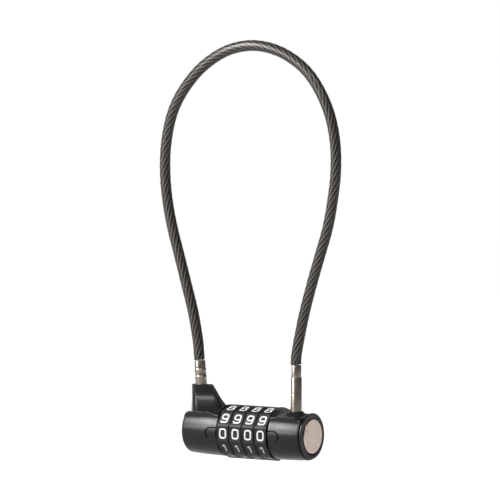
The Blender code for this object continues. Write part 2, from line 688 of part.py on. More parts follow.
def make_sleeves(frame):
    """A sleeve under each dial, with the gate that the spindle's fin must find."""
    bore = CORE_OUTER + 2 * RUN
    flange = SLEEVE_FLANGE_AT
    flange_end = flange + SLEEVE_FLANGE
    profile = [
        (0.0, SLEEVE_INNER), (flange, SLEEVE_INNER), (flange, bore), (flange_end, bore),
        (flange_end, SLEEVE_INNER), (DIAL_WIDTH, SLEEVE_INNER), (DIAL_WIDTH, SLEEVE_OUTER),
        (0.0, SLEEVE_OUTER)]
    pattern = add_object("sleeve_pattern", turned("sleeve", profile, 24), None, frame)
    inside = (SLEEVE_INNER + SLEEVE_OUTER) / 2
    teeth = loft("sleeve_teeth", [
        toothed_outline(x, inside, SLEEVE_TOOTH_RADIUS, SLEEVE_TOOTH_WIDTH)
        for x in (SLEEVE_TOOTH_AT, SLEEVE_TOOTH_AT + SLEEVE_TOOTH_LENGTH)])
    hollow = rod("sleeve_hollow", -PAST, flange, SLEEVE_INNER, 24)
    teeth_shape = add_object("sleeve_teeth", teeth, None, frame)
    cut(teeth_shape, add_object("sleeve_hollow", hollow, None, frame))
    fuse(pattern, teeth_shape)
    half = SLOT_WIDTH / 2
    through = (flange - RUN, flange_end + RUN)
    gate = box("sleeve_gate", (through[0], -half, 0.0), (through[1], half, SLEEVE_INNER + FIT))
    notches = loft("click_notches", [
        toothed_outline(x, bore - CLICK_NOTCH, bore + CLICK_NOTCH, 2 * CLICK_NOTCH) for x in through])
    notches.transform(Matrix.Rotation(math.pi / 2, 4, "X"))
    cut(pattern, add_object("sleeve_gate", gate, None, frame),
        add_object("click_notches", notches, None, frame))
    mesh = share_pattern(pattern)
    for i in range(DIAL_COUNT):
        add_object(f"dial_sleeve_{i + 1}", mesh.copy(), BRASS, frame, (dial_left(i), 0.0, 0.0))


def fin_start(index):
    """X of the left side of the spindle fin for a dial: just right of the sleeve's flange."""
    return dial_left(index) + SLEEVE_FLANGE_AT + SLEEVE_FLANGE + GATE_PLAY


def make_core_tube(frame):
    """Fixed tube that joins the housings: slotted for the spindle's fins, flat for the clicks."""
    profile = [(CORE_LEFT, CORE_INNER), (CORE_RIGHT, CORE_INNER),
               (CORE_RIGHT, CORE_OUTER), (CORE_LEFT, CORE_OUTER)]
    tube = add_object("core_tube", turned("core_tube", profile, 32), METAL, frame)
    half = SLOT_WIDTH / 2
    slot = box("core_slot", (STACK_START, -half, 0.0), (CORE_RIGHT + PAST, half, CORE_OUTER + PAST))
    flat = box("click_flat", (STACK_START, -CORE_OUTER, -CORE_OUTER - PAST),
               (RIGHT_START, CORE_OUTER, -CORE_OUTER + CLICK_FLAT_DEPTH))
    cut(tube, add_object("core_slot", slot, None, frame), add_object("click_flat", flat, None, frame),
        pin_hole("core_pin_hole_tube_left", frame, core_pin_place(0)),
        pin_hole("core_pin_hole_tube_right", frame, core_pin_place(1)))
    return tube


def make_core_pins(frame):
    """Pins driven up from below into the wall of the core tube."""
    for index, name in enumerate(("core_pin_left", "core_pin_right")):
        x = core_pin_place(index)
        low = CORE_PIN_SINK - BARREL_RADIUS
        high = core_pin_top() - SEAT
        profile = [(low, 0.0), (low, CORE_PIN_RADIUS), (high, CORE_PIN_RADIUS), (high, 0.0)]
        mesh = turned_up(name, profile, 20)
        add_object(name, mesh, METAL, frame, (x, 0.0, 0.0))


def make_click_strip(frame):
    """Leaf spring in the tube's flat, with a bump under each sleeve's flange."""
    top = -CORE_OUTER + CLICK_FLAT_DEPTH - SEAT
    low = top - CLICK_THICKNESS
    half = CLICK_WIDTH / 2
    strip = box("click_strip", (STACK_START + SEAT, -half, low), (RIGHT_START - SEAT, half, top))
    obj = add_object("click_strip", strip, SPRING_STEEL, frame)
    for i in range(DIAL_COUNT):
        middle = dial_left(i) + SLEEVE_FLANGE_AT + SLEEVE_FLANGE / 2
        bump = rod(f"click_bump_{i}", middle - CLICK_LENGTH / 2, middle + CLICK_LENGTH / 2,
                   CLICK_BUMP_RADIUS, 12)
        place = (0.0, 0.0, CLICK_BUMP_RADIUS - CORE_OUTER - RUN)
        fuse(obj, add_object(f"click_bump_{i}", bump, None, frame, place))
    return obj


def make_spindle(frame):
    """Spindle that the button pushes, with one fin for each dial."""
    right = BUTTON_FACE - BUTTON_SKIN - SEAT
    neck_start = CORE_LEFT - SEAT - SPINDLE_CLIP_THICKNESS - RUN
    neck_end = CORE_LEFT - SEAT + RUN
    profile = [
        (SPINDLE_LEFT, 0.0), (SPINDLE_LEFT, SPINDLE_RADIUS), (neck_start, SPINDLE_RADIUS),
        (neck_start, SPINDLE_NECK), (neck_end, SPINDLE_NECK), (neck_end, SPINDLE_RADIUS),
        (right, SPINDLE_RADIUS), (right, 0.0)]
    spindle = add_object("spindle", turned("spindle", profile, 24), METAL, frame)
    half = FIN_GATE_WIDTH / 2
    for i in range(DIAL_COUNT):
        start = fin_start(i)
        fin = box(f"gate_fin_{i}", (start, -half, 0.0), (start + FIN_GATE_LENGTH, half, FIN_GATE_RADIUS))
        fuse(spindle, add_object(f"gate_fin_{i}", fin, None, frame))
    return spindle


def make_spindle_clip(frame):
    """Snap ring that stops the spindle against the core tube's left end."""
    end = CORE_LEFT - SEAT
    start = end - SPINDLE_CLIP_THICKNESS
    profile = [(start, SPINDLE_NECK + FIT), (end, SPINDLE_NECK + FIT),
               (end, SPINDLE_CLIP_RADIUS), (start, SPINDLE_CLIP_RADIUS)]
    clip = add_object("spindle_clip", turned("spindle_clip", profile, 32), SPRING_STEEL, frame)
    half = SPINDLE_CLIP_OPENING / 2
    below = -SPINDLE_CLIP_RADIUS - PAST
    gap = box("clip_gap", (start - PAST, -half, below), (end + PAST, half, 0.0))
    cut(clip, add_object("clip_gap", gap, None, frame))
    return clip


def make_release_button(frame):
    """Push button: a disc with the wedge that spreads the plug's clip behind it."""
    hole = SPINDLE_RADIUS + FIT
    hole_end = BUTTON_FACE - BUTTON_SKIN
    profile = [
        (hole_end, 0.0), (hole_end, hole), (BUTTON_BACK, hole), (BUTTON_BACK, BUTTON_RADIUS),
        (BUTTON_FACE - BUTTON_EDGE, BUTTON_RADIUS),
        (BUTTON_FACE - BUTTON_EDGE / 4, BUTTON_RADIUS - BUTTON_EDGE / 4),
        (BUTTON_FACE, BUTTON_RADIUS - BUTTON_EDGE), (BUTTON_FACE, 0.0)]
    disc = turned("release_button", profile, RING_STEPS)
    button = add_object("release_button", disc, CHAMPAGNE, frame)
    low = POCKET_LOW + RUN
    high = POCKET_HIGH - RUN
    tip = BUTTON_BACK - WEDGE_LENGTH
    root = BUTTON_BACK + WEDGE_LENGTH / 2
    loops = [
        [(tip, -WEDGE_TIP, z) for z in (low, high)] + [(tip, WEDGE_TIP, z) for z in (high, low)],
        [(root, -WEDGE_ROOT, z) for z in (low, high)] + [(root, WEDGE_ROOT, z) for z in (high, low)]]
    fuse(button, add_object("wedge_shape", loft("wedge_shape", loops), None, frame))
    return button


def make_reset_plunger(frame):
    """Rod that slides the sleeves off the dials when a pen tip pushes its head."""
    end = STACK_START + DIAL_GAP / 2 - SEAT
    profile = [
        (PLUNGER_HEAD_AT, 0.0), (PLUNGER_HEAD_AT, PLUNGER_HEAD_RADIUS),
        (PLUNGER_HEAD_AT + PLUNGER_HEAD_LENGTH, PLUNGER_HEAD_RADIUS),
        (PLUNGER_HEAD_AT + PLUNGER_HEAD_LENGTH, PLUNGER_RADIUS), (end, PLUNGER_RADIUS), (end, 0.0)]
    return add_object("reset_plunger", turned("reset_plunger", profile, 20), METAL, frame, PLUNGER_PLACE)


# Springs, ferrule, plug and cable --------------------------------------------------------------


def wire_curve(name, points, radius, finish, frame, resolution):
    """A round wire or cable through a row of points, closed at both ends."""
    curve = bpy.data.curves.new(name, "CURVE")
    curve.dimensions = "3D"
    curve.bevel_depth = radius
    curve.bevel_resolution = resolution
    curve.use_fill_caps = True
    spline = curve.splines.new("POLY")
    spline.points.add(len(points) - 1)
    for point, place in zip(spline.points, points):
        point.co = (*place, 1.0)
    return add_object(name, curve, finish, frame)


def coil_points(start, end, radius, turns, steps=12):
    """Points of a coil round X, from start to end."""
    count = turns * steps
    return [(start + (end - start) * i / count, radius * math.cos(math.tau * i / steps),
             radius * math.sin(math.tau * i / steps)) for i in range(count + 1)]


def make_springs(frame):
    """The button's return spring and the sleeves' return spring."""
    wire = RETURN_SPRING_WIRE / 2
    start = RETURN_SPRING_START + wire + FIT
    end = SPINDLE_LEFT - wire - SEAT
    points = coil_points(start, end, RETURN_SPRING_RADIUS, RETURN_SPRING_TURNS)
    wire_curve("return_spring", points, wire, SPRING_STEEL, frame, 1)
    wire = RESET_SPRING_WIRE / 2
    start = dial_left(DIAL_COUNT - 1) + DIAL_WIDTH + wire + SEAT
    end = RIGHT_START + RESET_RECESS - wire - SEAT
    radius = (SLEEVE_OUTER + SLEEVE_INNER) / 2
    points = coil_points(start, end, radius, RESET_SPRING_TURNS)
    wire_curve("reset_spring", points, wire, SPRING_STEEL, frame, 1)


def make_latch_clip(frame):
    """Flat U-shaped spring clip whose legs lie in the plug's groove."""
    inner = GROOVE_RADIUS + FIT
    outer = inner + CLIP_WIRE
    right = PLUG_X + CLIP_LEG_RIGHT
    flare_start = right - CLIP_FLARE_LENGTH
    bend = PLUG_X - CLIP_BEND_AT
    steps = 12
    outline = [(right, outer + CLIP_FLARE), (flare_start, outer)]
    for i in range(steps + 1):
        angle = math.radians(90.0 + 180.0 * i / steps)
        outline.append((bend + outer * math.cos(angle), outer * math.sin(angle)))
    outline += [(flare_start, -outer), (right, -outer - CLIP_FLARE)]
    outline += [(right, -inner - CLIP_FLARE), (flare_start, -inner)]
    for i in range(steps + 1):
        angle = math.radians(270.0 - 180.0 * i / steps)
        outline.append((bend + inner * math.cos(angle), inner * math.sin(angle)))
    outline += [(flare_start, inner), (right, inner + CLIP_FLARE)]
    low = GROOVE_LOW + RUN
    high = GROOVE_HIGH - RUN
    mesh = loft("latch_clip", [[(x, y, z) for x, y in outline] for z in (low, high)])
    return add_object("latch_clip", mesh, SPRING_STEEL, frame)


def make_plug(frame):
    """Steel plug on the cable's free end, grooved for the clip and stepped where it is crimped."""
    profile = [
        (PLUG_TIP, 0.0), (PLUG_TIP, PLUG_TIP_RADIUS), (PLUG_TIP + PLUG_TAPER, PLUG_RADIUS),
        (GROOVE_LOW, PLUG_RADIUS), (GROOVE_LOW, GROOVE_RADIUS), (GROOVE_HIGH, GROOVE_RADIUS),
        (GROOVE_HIGH, PLUG_RADIUS), (PLUG_SHOULDER - SOFT_EDGE, PLUG_RADIUS),
        (PLUG_SHOULDER, PLUG_NECK_RADIUS), (PLUG_TOP - SOFT_EDGE, PLUG_NECK_RADIUS),
        (PLUG_TOP, PLUG_NECK_RADIUS - SOFT_EDGE), (PLUG_TOP, 0.0)]
    return add_object("plug_pin", turned_up("plug_pin", profile, 24), METAL, frame, (PLUG_X, 0.0, 0.0))


def make_ferrule(frame):
    """Ferrule pressed on the cable's fixed end, with two crimped beads and its cross pin."""
    profile = [(-FERRULE_DEPTH, 0.0), (-FERRULE_DEPTH, FERRULE_RADIUS)]
    crown = FERRULE_RADIUS + FERRULE_BEAD
    for height in FERRULE_BEADS:
        for share, radius in ((-0.5, FERRULE_RADIUS), (-0.2, crown), (0.2, crown), (0.5, FERRULE_RADIUS)):
            profile.append((height + share * FERRULE_BEAD_LENGTH, radius))
    profile += [(FERRULE_HEIGHT - SOFT_EDGE, FERRULE_RADIUS),
                (FERRULE_HEIGHT, FERRULE_RADIUS - SOFT_EDGE), (FERRULE_HEIGHT, 0.0)]
    mesh = turned_up("fixed_ferrule", profile, 24)
    mesh.transform(ferrule_matrix())
    ferrule = add_object("fixed_ferrule", mesh, METAL, frame)
    hole = rod("ferrule_cross_hole", -FERRULE_PIN_LENGTH - SEAT, PAST, FERRULE_PIN_RADIUS + FIT, 20)
    hole.transform(Matrix.Rotation(math.radians(90.0), 4, "Z"))
    place = (FERRULE_X, ferrule_pin_start(), FIN_TOP - FERRULE_PIN_DROP)
    cut(ferrule, add_object("ferrule_cross_hole", hole, None, frame, place))
    pin = rod("ferrule_pin", -FERRULE_PIN_LENGTH, 0.0, FERRULE_PIN_RADIUS, 20)
    pin.transform(Matrix.Rotation(math.radians(90.0), 4, "Z"))
    add_object("ferrule_pin", pin, METAL, frame, place)


def smooth_route(knots, count):
    """Evenly spaced points on a smooth curve through the knots."""
    padded = [2 * knots[0] - knots[1]] + knots + [2 * knots[-1] - knots[-2]]
    fine = []
    for before, start, end, after in zip(padded, padded[1:], padded[2:], padded[3:]):
        for i in range(40):
            t = i / 40
            fine.append(0.5 * (2 * start + (end - before) * t
                               + (2 * before - 5 * start + 4 * end - after) * t ** 2
                               + (3 * start - before - 3 * end + after) * t ** 3))
    fine.append(knots[-1])
    lengths = [0.0]
    for start, end in zip(fine, fine[1:]):
        lengths.append(lengths[-1] + (end - start).length)
    points = []
    k = 0
    for i in range(count):
        target = lengths[-1] * i / (count - 1)
        while k < len(fine) - 2 and lengths[k + 1] < target:
            k += 1
        share = (target - lengths[k]) / (lengths[k + 1] - lengths[k])
        points.append(fine[k].lerp(fine[k + 1], share))
    return points


def make_cable(frame):
    """The cable's loop from the fixed ferrule over to the plug."""
    lean = ferrule_matrix()
    start = lean @ Vector((0.0, 0.0, FERRULE_HEIGHT + CABLE_GAP))
    after = lean @ Vector((0.0, 0.0, FERRULE_HEIGHT + CABLE_GAP + CABLE_LEAD))
    end = Vector((PLUG_X, 0.0, PLUG_TOP + CABLE_GAP))
    before = Vector((PLUG_X, 0.0, PLUG_TOP + CABLE_GAP + CABLE_LEAD))
    knots = [start, after] + [Vector((x, 0.0, z)) * MM for x, z in CABLE_ROUTE] + [before, end]
    return wire_curve("cable", smooth_route(knots, CABLE_POINTS), CABLE_RADIUS, JACKET, frame, 2)


def main():
    clear_scene()
    frame = bpy.data.objects.new("lock_frame", None)
    bpy.context.scene.collection.objects.link(frame)
    frame.location = -HANG_POINT
    make_left_housing(frame)
    make_right_housing(frame)
    make_end_ring(frame)
    make_left_end_cap(frame)
    make_dials(frame)
    make_sleeves(frame)
    make_core_tube(frame)
    make_core_pins(frame)
    make_click_strip(frame)
    make_spindle(frame)
    make_spindle_clip(frame)
    make_release_button(frame)
    make_reset_plunger(frame)
    make_springs(frame)
    make_latch_clip(frame)
    make_plug(frame)
    make_ferrule(frame)
    make_cable(frame)


main()
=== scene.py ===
"""Looks of the cable lock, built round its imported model.

Lengths are in metres, in the model's own frame. The barrel's pieces are drawn in a barrel frame:
X starts at the barrel's left end, the dials are read from -Y, and the axis is y = z = 0.
"""

import math

import bmesh
import bpy
from mathutils import Matrix, Quaternion, Vector


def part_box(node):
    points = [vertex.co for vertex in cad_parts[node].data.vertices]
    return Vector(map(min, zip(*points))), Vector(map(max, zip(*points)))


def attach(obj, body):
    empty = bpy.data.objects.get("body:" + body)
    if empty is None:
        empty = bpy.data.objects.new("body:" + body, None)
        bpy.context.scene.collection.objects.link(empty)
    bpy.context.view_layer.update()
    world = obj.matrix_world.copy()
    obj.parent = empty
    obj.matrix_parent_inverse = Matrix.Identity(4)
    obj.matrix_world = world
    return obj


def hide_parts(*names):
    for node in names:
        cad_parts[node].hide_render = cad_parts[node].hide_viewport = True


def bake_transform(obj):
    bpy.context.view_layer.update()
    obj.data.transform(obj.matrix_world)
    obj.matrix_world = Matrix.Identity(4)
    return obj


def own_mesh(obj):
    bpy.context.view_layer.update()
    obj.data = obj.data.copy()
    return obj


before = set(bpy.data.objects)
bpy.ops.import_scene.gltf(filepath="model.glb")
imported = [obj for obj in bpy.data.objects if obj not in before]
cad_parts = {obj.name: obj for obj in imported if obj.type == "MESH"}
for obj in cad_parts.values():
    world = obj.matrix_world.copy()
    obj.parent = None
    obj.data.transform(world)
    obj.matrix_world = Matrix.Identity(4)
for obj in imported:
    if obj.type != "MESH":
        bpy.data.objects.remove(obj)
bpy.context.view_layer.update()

MM = 0.001
FIT = 0.10 * MM
RUN = 0.15 * MM
PAST = 1.00 * MM
WELD = 0.5e-6


def span(node, axis):
    """Lowest and highest place of a model node along an axis."""
    low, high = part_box(node)
    return low[axis], high[axis]


# Places taken from the model
AXIS_Z = sum(span("end_ring", 2)) / 2
ORIGIN = Vector((span("left_housing", 0)[0], 0.0, AXIS_Z))
LEFT_LENGTH = span("left_housing", 0)[1] - ORIGIN.x
RIGHT_START = span("right_housing", 0)[0] - ORIGIN.x
RIGHT_END = span("right_housing", 0)[1] - ORIGIN.x
RING_START, RING_END = (x - ORIGIN.x for x in span("end_ring", 0))
BUTTON_FACE = span("release_button", 0)[1] - ORIGIN.x
DIAL_LEFTS = [span(f"dial_{i}", 0)[0] - ORIGIN.x for i in range(1, 5)]
DIAL_WIDTH = span("dial_1", 0)[1] - span("dial_1", 0)[0]
PLUG_X = sum(span("plug_pin", 0)) / 2 - ORIGIN.x
PLUG_TIP, PLUG_TOP = (z - AXIS_Z for z in span("plug_pin", 2))

# Barrel
BARREL_RADIUS = 10.95 * MM
LEFT_CROWN = 0.75 * MM
RIGHT_CROWN = 0.45 * MM
LEFT_ROUND = 1.20 * MM
RIGHT_ROUND = 0.40 * MM
SPINE_HALF_WIDTH = 8.90 * MM
SPINE_TOP = 8.85 * MM
SPINE_EDGE = 0.25 * MM
SPINE_END_EDGE = 3.20 * MM
LEFT_SHOULDER = 11.50 * MM
RIGHT_SHOULDER = 11.80 * MM
SHOULDER_FALL = 5.60 * MM
ARC_STEPS = 90
EDGE_STEPS = 8
TOP_STEPS = 20
LEFT_ROUND_STEPS = 10
RIGHT_ROUND_STEPS = 6
STATION = 0.70 * MM

# Index marks
MARK_LENGTH = 5.60 * MM
MARK_HALF_HEIGHT = 2.20 * MM
MARK_GROOVE = 0.70 * MM
MARK_DEPTH = 0.60 * MM

# Fin
FIN_TOP = span("left_housing", 2)[1] - AXIS_Z
FIN_HALF_WIDTH = 3.70 * MM
FIN_LEFT = 0.00 * MM
FIN_NOSE = 2.05 * MM
FIN_CORNER = 0.50 * MM
FIN_CORNER_GROWTH = 3.50 * MM
FIN_EDGE_GAP = 0.50 * MM
FIN_TOP_RIGHT = 9.10 * MM
FIN_SLOPE_END = 8.10 * MM
FIN_FLARE = 4.90 * MM
FIN_FLARE_SINK = 0.80 * MM
FIN_FLARE_START = SPINE_TOP - LEFT_CROWN - FIN_FLARE_SINK
FIN_FLARE_HEIGHT = 9.60 * MM
FIN_FOOT = 4.50 * MM
FIN_RIM = 0.35 * MM
FIN_LAYERS = 24
FIN_LAYER_BIAS = 1.2
FIN_STEPS = 32
FIN_CORNER_STEPS = 8

# Bores
CORE_BORE = 3.60 * MM
CORE_BORE_LEFT = 4.00 * MM
CORE_BORE_DEPTH = 6.10 * MM
SPINDLE_BORE = 2.40 * MM
CAP_RADIUS = 6.60 * MM
CAP_RECESS = 1.45 * MM
PLUNGER_OFFSET = 5.20 * MM
PLUNGER_ANGLE = math.radians(45)
PLUNGER_PLACE = Vector((0.0, PLUNGER_OFFSET * math.cos(PLUNGER_ANGLE),
                        -PLUNGER_OFFSET * math.sin(PLUNGER_ANGLE)))
PLUNGER_BORE = 1.15 * MM
PLUNGER_HEAD_BORE = 1.75 * MM
PLUNGER_HEAD_END = 3.85 * MM
PEN_HOLE_RADIUS = 0.90 * MM
CORE_PIN_BORE = 0.80 * MM
CORE_PIN_TOP = -2.50 * MM
CORE_PIN_LEFT_AT = 14.00 * MM
CORE_PIN_RIGHT_AT = RIGHT_START + 4.60 * MM
RESET_RECESS = 3.20 * MM
RESET_RECESS_RADIUS = 6.70 * MM

# Button
BUTTON_RADIUS = 7.45 * MM
BUTTON_THICKNESS = 2.20 * MM
BUTTON_BORE = 7.70 * MM
WEDGE_TIP = 1.70 * MM
WEDGE_ROOT = 2.80 * MM
CAVITY_FLOOR = BUTTON_FACE - 4.50 * MM
POCKET = ((PLUG_X - 3.55 * MM, -4.20 * MM, 5.20 * MM), (CAVITY_FLOOR + PAST, 4.20 * MM, 6.70 * MM))

# Plug and ferrule
PLUG_RADIUS = 2.50 * MM
PLUG_BORE = 2.65 * MM
PLUG_SHOULDER = 25.20 * MM
PLUG_NECK_RADIUS = 2.25 * MM
GROOVE_RADIUS = 1.75 * MM
GROOVE_LOW = 5.35 * MM
GROOVE_HIGH = 6.55 * MM
SOCKET_FLOOR = 3.75 * MM
SOCKET_CHAMFER = 0.20 * MM
BOSS_TOP = 10.40 * MM
BOSS_TOP_RADIUS = 3.05 * MM
BOSS_FOOT = 8.60 * MM
BOSS_FOOT_RADIUS = 4.60 * MM
FERRULE_X = 4.20 * MM
FERRULE_TILT = math.radians(5.0)
FERRULE_RADIUS = 2.50 * MM
FERRULE_DEPTH = 8.60 * MM
FERRULE_HEIGHT = 10.35 * MM
FERRULE_BEAD = 0.22 * MM
FERRULE_BEADS = (3.2 * MM, 6.3 * MM)
FERRULE_PIN_PLACE = Vector((FERRULE_X, 3.50 * MM, FIN_TOP - 5.00 * MM))
FERRULE_PIN_BORE = 0.90 * MM
FERRULE_PIN_FLOOR = -3.80 * MM

# Dials
DIAL_DIGITS = 10
DIAL_FLAT_RADIUS = BARREL_RADIUS + 0.25 * MM
DIAL_RIDGE = 0.90 * MM
DIAL_END_BEVEL = 0.16 * MM
DIAL_SOFT_EDGE = 0.06 * MM
DIAL_BORE = 7.30 * MM
PANEL_MARGIN = 0.28 * MM
PANEL_WALL = 0.32 * MM
PANEL_DEPTH = 0.24 * MM
DIGIT_WIDTH = 3.60 * MM
DIGIT_HEIGHT = 4.55 * MM
DIGIT_STROKE = 0.70 * MM
DIGIT_CORNER = 1.10 * MM
DIGIT_RAISE = 0.05 * MM
CORNER_STEPS = 6

# Cable
CABLE_RADIUS = 2.42 * MM
CABLE_GAP = 0.30 * MM
CABLE_LEAD = 3.00 * MM
ROPE_STRANDS = 8
ROPE_RADIUS = 2.32 * MM
ROPE_LAY = 30.0 * MM
CABLE_POINTS = 300
CABLE_FINENESS = 20
ROPE_STEPS = 96
JACKET_STEPS = 40

# Points (x, z) of the cable's centre line between ferrule and plug, in millimetres
CABLE_ROUTE = [
    (2.4, 39.0), (0.0, 51.0), (-3.5, 63.1), (-7.0, 75.0), (-10.6, 87.1), (-13.2, 99.1),
    (-14.4, 111.1), (-13.9, 123.4), (-11.2, 135.6), (-6.5, 145.1), (1.1, 154.4), (9.4, 161.0),
    (18.6, 165.6), (28.9, 167.7), (39.0, 167.0), (48.6, 163.7), (57.4, 157.9), (64.2, 149.7),
    (69.5, 139.0), (72.2, 126.9), (72.5, 114.7), (71.0, 102.6), (68.5, 90.4), (64.5, 78.0),
    (60.5, 65.7), (56.9, 53.4), (54.0, 41.1),
]

# Share of an edge at which the middle point of its rounding lies
ROUNDING = 0.3

# Scale at which a wave texture has one band to a unit, and the useful middle of a pattern
WAVE = 0.1 * math.tau
PATTERN_START = 0.3
PATTERN_END = 0.7

# Camera and stage
CAMERA_AZIMUTH = 32.0
CAMERA_ELEVATION = 4.6
CAMERA_LENS = 499.4
CAMERA_DISTANCE = 3.0
CAMERA_SENSOR = 36.0
CAMERA_REACH = 20.0
LOOK_AT = Vector((29.18 * MM, 0.0, 79.21 * MM)) + ORIGIN
FLOOR_DROP = 30.0 * MM
FLOOR_AHEAD = 1.2
FLOOR_BEHIND = 6.0
FLOOR_HALF_WIDTH = 2.0
STAGE_SHADE = 0.12
STAGE_GLOW = 0.98
WORLD_SHADE = 0.5
WORLD_STRENGTH = 0.4

# Lamps: name, azimuth, elevation, distance, width and height, power, roll
LAMPS = [
    ("key", -40.0, 31.0, 0.9, (0.22, 0.42), 10.5, 30.0),
    ("key_skirt", -33.0, 9.0, 0.9, (0.26, 0.22), 3.4, 15.0),
    ("key_right", -10.0, 27.0, 0.9, (0.18, 0.20), 2.2, 0.0),
    ("side_left", -112.0, 3.0, 0.8, (0.50, 0.34), 2.2, 0.0),
    ("rim", 50.0, 50.0, 0.9, (0.25, 0.25), 2.2, 0.0),
    ("back", 190.0, 36.0, 1.2, (1.0, 0.5), 1.2, 0.0),
]


# Meshes ------------------------------------------------------------------------------------


def new_object(name, mesh, at_barrel=True):
    """Link a mesh as an object, moved from the barrel frame to the model's."""
    if at_barrel:
        mesh.transform(Matrix.Translation(ORIGIN))
    obj = bpy.data.objects.new(name, mesh)
    bpy.context.scene.collection.objects.link(obj)
    return obj


def finish_mesh(bm, name, sharp=30.0):
    """Close a bmesh into a smooth mesh whose hard edges stay crisp."""
    bmesh.ops.recalc_face_normals(bm, faces=bm.faces)
    mesh = bpy.data.meshes.new(name)
    bm.to_mesh(mesh)
    bm.free()
    mesh.shade_smooth()
    mesh.set_sharp_from_angle(angle=math.radians(sharp))
    return mesh


def loft(name, loops):
    """Skin a row of point loops of equal length and close both ends."""
    bm = bmesh.new()
    rings = [[bm.verts.new(point) for point in loop] for loop in loops]
    for ring, following in zip(rings, rings[1:]):
        for i in range(len(ring)):
            j = (i + 1) % len(ring)
            bm.faces.new((ring[i], ring[j], following[j], following[i]))
    bm.faces.new(rings[0])
    bm.faces.new(rings[-1])
    return finish_mesh(bm, name)


def turned(name, profile, steps):
    """Turn a profile of (x, radius) points about X."""
    bm = bmesh.new()
    points = [bm.verts.new((x, 0.0, radius)) for x, radius in profile]
    edges = [bm.edges.new(pair) for pair in zip(points, points[1:])]
    if profile[0][1] > 0.0 and profile[-1][1] > 0.0:
        edges.append(bm.edges.new((points[-1], points[0])))
    bmesh.ops.spin(
        bm, geom=points + edges, cent=(0, 0, 0), axis=(1, 0, 0), dvec=(0, 0, 0),
        angle=math.tau, steps=steps, use_merge=True, use_duplicate=False,
    )
    bmesh.ops.remove_doubles(bm, verts=bm.verts, dist=WELD)
    return finish_mesh(bm, name)


def turned_up(name, profile, steps=64):
    """Turn a profile of (z, radius) points about Z."""
    mesh = turned(name, profile, steps)
    mesh.transform(Matrix.Rotation(math.radians(-90.0), 4, "Y"))
    return mesh


def rod(name, start, end, radius, steps=64):
    """A plain round bar along X."""
    return turned(name, [(start, 0.0), (start, radius), (end, radius), (end, 0.0)], steps)


def box(name, low, high):
    """A rectangular block between two corners."""
    corners = [(low[1], low[2]), (high[1], low[2]), (high[1], high[2]), (low[1], high[2])]
    return loft(name, [[(x, y, z) for y, z in corners] for x in (low[0], high[0])])


def combine(target, mesh, operation, place=(0.0, 0.0, 0.0)):
    """Join a mesh to the target, or cut it out, and keep the result."""
    mesh.transform(Matrix.Translation(place))
    other = new_object(mesh.name, mesh)
    step = target.modifiers.new(mesh.name, "BOOLEAN")
    step.operation = operation
    step.solver = "MANIFOLD"
    step.object = other
    bpy.context.view_layer.update()
    result = bpy.data.meshes.new_from_object(
        target.evaluated_get(bpy.context.evaluated_depsgraph_get()))
    target.modifiers.clear()
    target.data = result
    bpy.data.objects.remove(other)


def soften(obj, sharp=28.0):
    """Smooth shading that follows the large faces, with hard edges kept."""
    obj.data.shade_smooth()
    obj.data.set_sharp_from_angle(angle=math.radians(sharp))
    weighted = obj.modifiers.new("weighted", "WEIGHTED_NORMAL")
    weighted.keep_sharp = True


def ease(value):
    """Smooth step from 0 to 1."""
    value = min(max(value, 0.0), 1.0)
    return value * value * (3.0 - 2.0 * value)


def quarter(steps):
    """Cosine and sine of even turns from 0 to 90 degrees."""
    for i in range(steps + 1):
        turn = math.radians(90.0 * i / steps)
        yield math.cos(turn), math.sin(turn)


def rounded_top(top, radius, edge):
    """Profile points that round the upper edge of a turned piece."""
    return [(top - edge, radius), (top - ROUNDING * edge, radius - ROUNDING * edge),
            (top, radius - edge)]


def stations(start, end):
    """Even stations from start to end, both included."""
    count = max(1, round((end - start) / STATION))
    return [start + (end - start) * i / count for i in range(count + 1)]


# Housings ----------------------------------------------------------------------------------


def housing_section(x, sink, edge, shoulder, dome):
    """Outline of the barrel at x, sunk by sink: a round belly with a rib on top.

    dome blends the rib's top from flat (0) to the shoulder's radius (1).
    """
    radius = BARREL_RADIUS - sink
    top = SPINE_TOP - sink
    half_width = SPINE_HALF_WIDTH * radius / BARREL_RADIUS
    foot = math.sqrt(radius ** 2 - half_width ** 2)
    foot_angle = math.atan2(foot, half_width)
    sweep = math.pi + 2.0 * foot_angle
    loop = []
    for i in range(ARC_STEPS + 1):
        angle = foot_angle - sweep * i / ARC_STEPS
        loop.append((x, radius * math.cos(angle), radius * math.sin(angle)))

    def top_height(y):
        return top * (1.0 - dome) + (math.sqrt(shoulder ** 2 - y ** 2) - sink) * dome

    corner = top_height(half_width)
    drop = min(edge, corner - foot - FIT)
    inner = half_width - edge
    rise = top_height(inner) - corner + drop
    side = [(half_width - edge * (1.0 - cos), corner - drop + rise * sin)
            for cos, sin in quarter(EDGE_STEPS)]
    loop += [(x, -y, z) for y, z in side]
    for i in range(1, TOP_STEPS):
        y = inner * (1.0 - 2 * i / TOP_STEPS)
        loop.append((x, -y, top_height(y)))
    loop += [(x, y, z) for y, z in reversed(side)]
    return loop


def edge_near_end(distance):
    """Rounding of the rib's edges at a distance from the barrel's end."""
    growth = max(0.0, 1.0 - distance / SPINE_END_EDGE)
    return SPINE_EDGE + (SPINE_END_EDGE - SPINE_EDGE) * growth


